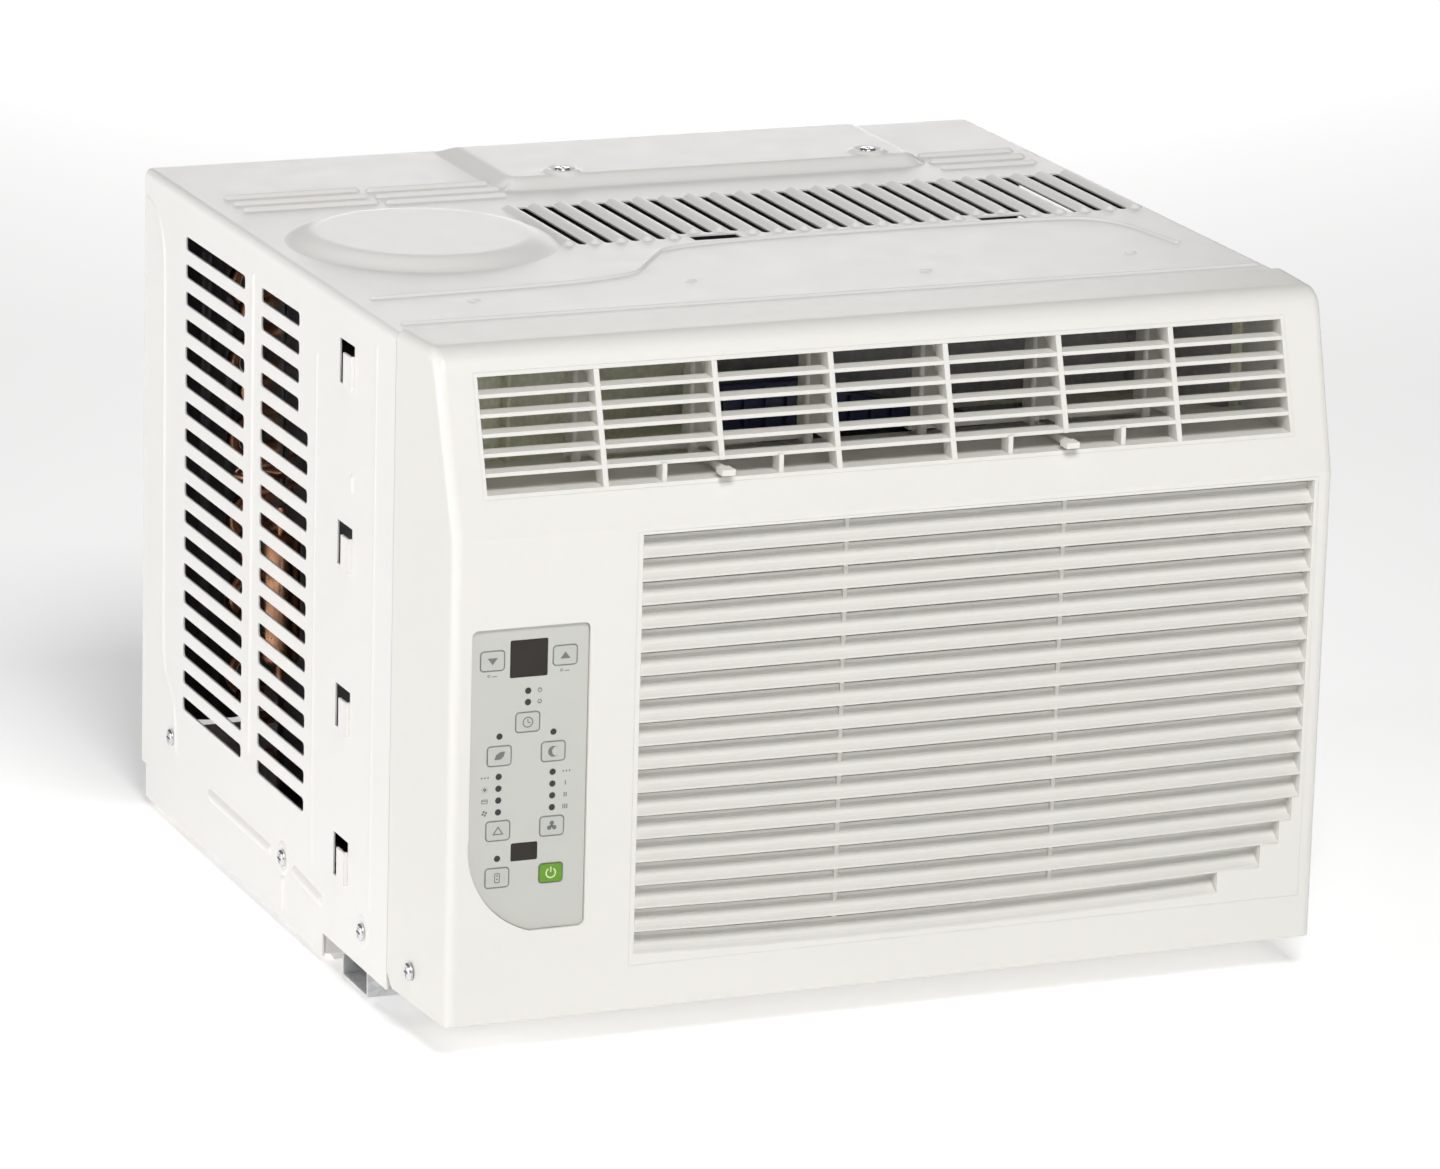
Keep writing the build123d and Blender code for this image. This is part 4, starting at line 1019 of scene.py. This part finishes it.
def setStage():
    view = {"azimuth": -22.98, "elevation": 15.58, "roll": 1.62, "distance": 3.677, "lens": 181.4,
            "target": (-0.0105, -0.025, 0.1673)}
    a, e, r = (math.radians(view[key]) for key in ("azimuth", "elevation", "roll"))
    back = Vector((math.sin(a) * math.cos(e), -math.cos(a) * math.cos(e), math.sin(e)))
    right = (-back).cross(Vector((0, 0, 1))).normalized()
    up = right.cross(-back)
    turned = math.cos(r) * right + math.sin(r) * up
    upright = math.cos(r) * up - math.sin(r) * right
    camera = bpy.data.objects.new("camera", bpy.data.cameras.new("camera"))
    bpy.context.scene.collection.objects.link(camera)
    camera.matrix_world = Matrix((
        (turned.x, upright.x, back.x, 0),
        (turned.y, upright.y, back.y, 0),
        (turned.z, upright.z, back.z, 0),
        (0, 0, 0, 1)))
    camera.location = Vector(view["target"]) + back * view["distance"]
    camera.data.lens = view["lens"]
    camera.data.sensor_width = 36.0
    camera.data.clip_end = 100.0
    bpy.context.scene.camera = camera

    lights = {
        "keyLight": {"at": (-3.6, 0.1, 0.6), "size": 1.8, "power": 59},
        "frontLight": {"at": (-0.4, -2.5, 2.9), "size": 1.3, "power": 94},
        "fillLight": {"at": (1.25, -3.0, 1.1), "size": 1.5, "power": 2},
        "rearLight": {"at": (1.2, 3.1, 0.7), "size": 1.2, "power": 16},
    }
    aim = Vector((0, 0, 0.17))
    for name, light in lights.items():
        lamp = bpy.data.lights.new(name, "AREA")
        lamp.size = light["size"]
        lamp.energy = light["power"]
        holder = bpy.data.objects.new(name, lamp)
        holder.location = light["at"]
        holder.rotation_euler = (aim - Vector(light["at"])).to_track_quat("-Z", "Y").to_euler()
        bpy.context.scene.collection.objects.link(holder)
    world = bpy.data.worlds.new("studio")
    world.use_nodes = True
    world.node_tree.nodes["Background"].inputs[0].default_value = (1.0, 1.0, 1.0, 1)
    world.node_tree.nodes["Background"].inputs[1].default_value = 0.12
    bpy.context.scene.world = world
    bpy.context.scene.view_settings.view_transform = "Standard"

    half = 30.0
    plane = bpy.data.meshes.new("floor")
    corners = [(-half, -half, 0), (half, -half, 0), (half, half, 0), (-half, half, 0)]
    plane.from_pydata(corners, [], [(0, 1, 2, 3)])
    floor = bpy.data.objects.new("floor", plane)
    bpy.context.scene.collection.objects.link(floor)
    shade = Shade("paleFloor")
    shade.set(Base_Color=shade.blend(shade.noise(2.0), (0.93, 0.93, 0.925), (0.95, 0.95, 0.945)))
    shade.set(Roughness=0.7)
    away = shade.node("ShaderNodeVectorMath", {"operation": "LENGTH"}, {0: shade.place()}).out(1)
    far = shade.ramp(away, (1.2, 0.0), (5.0, 1.0))    # it glows more far from the lamps, and stays pale
    shade.set(Emission_Color=shade.blend(far, (0.33, 0.33, 0.33), (0.90, 0.90, 0.90)))
    shade.set(Emission_Strength=1.0)
    plane.materials.append(shade.material)


setStage()
print("stage set")
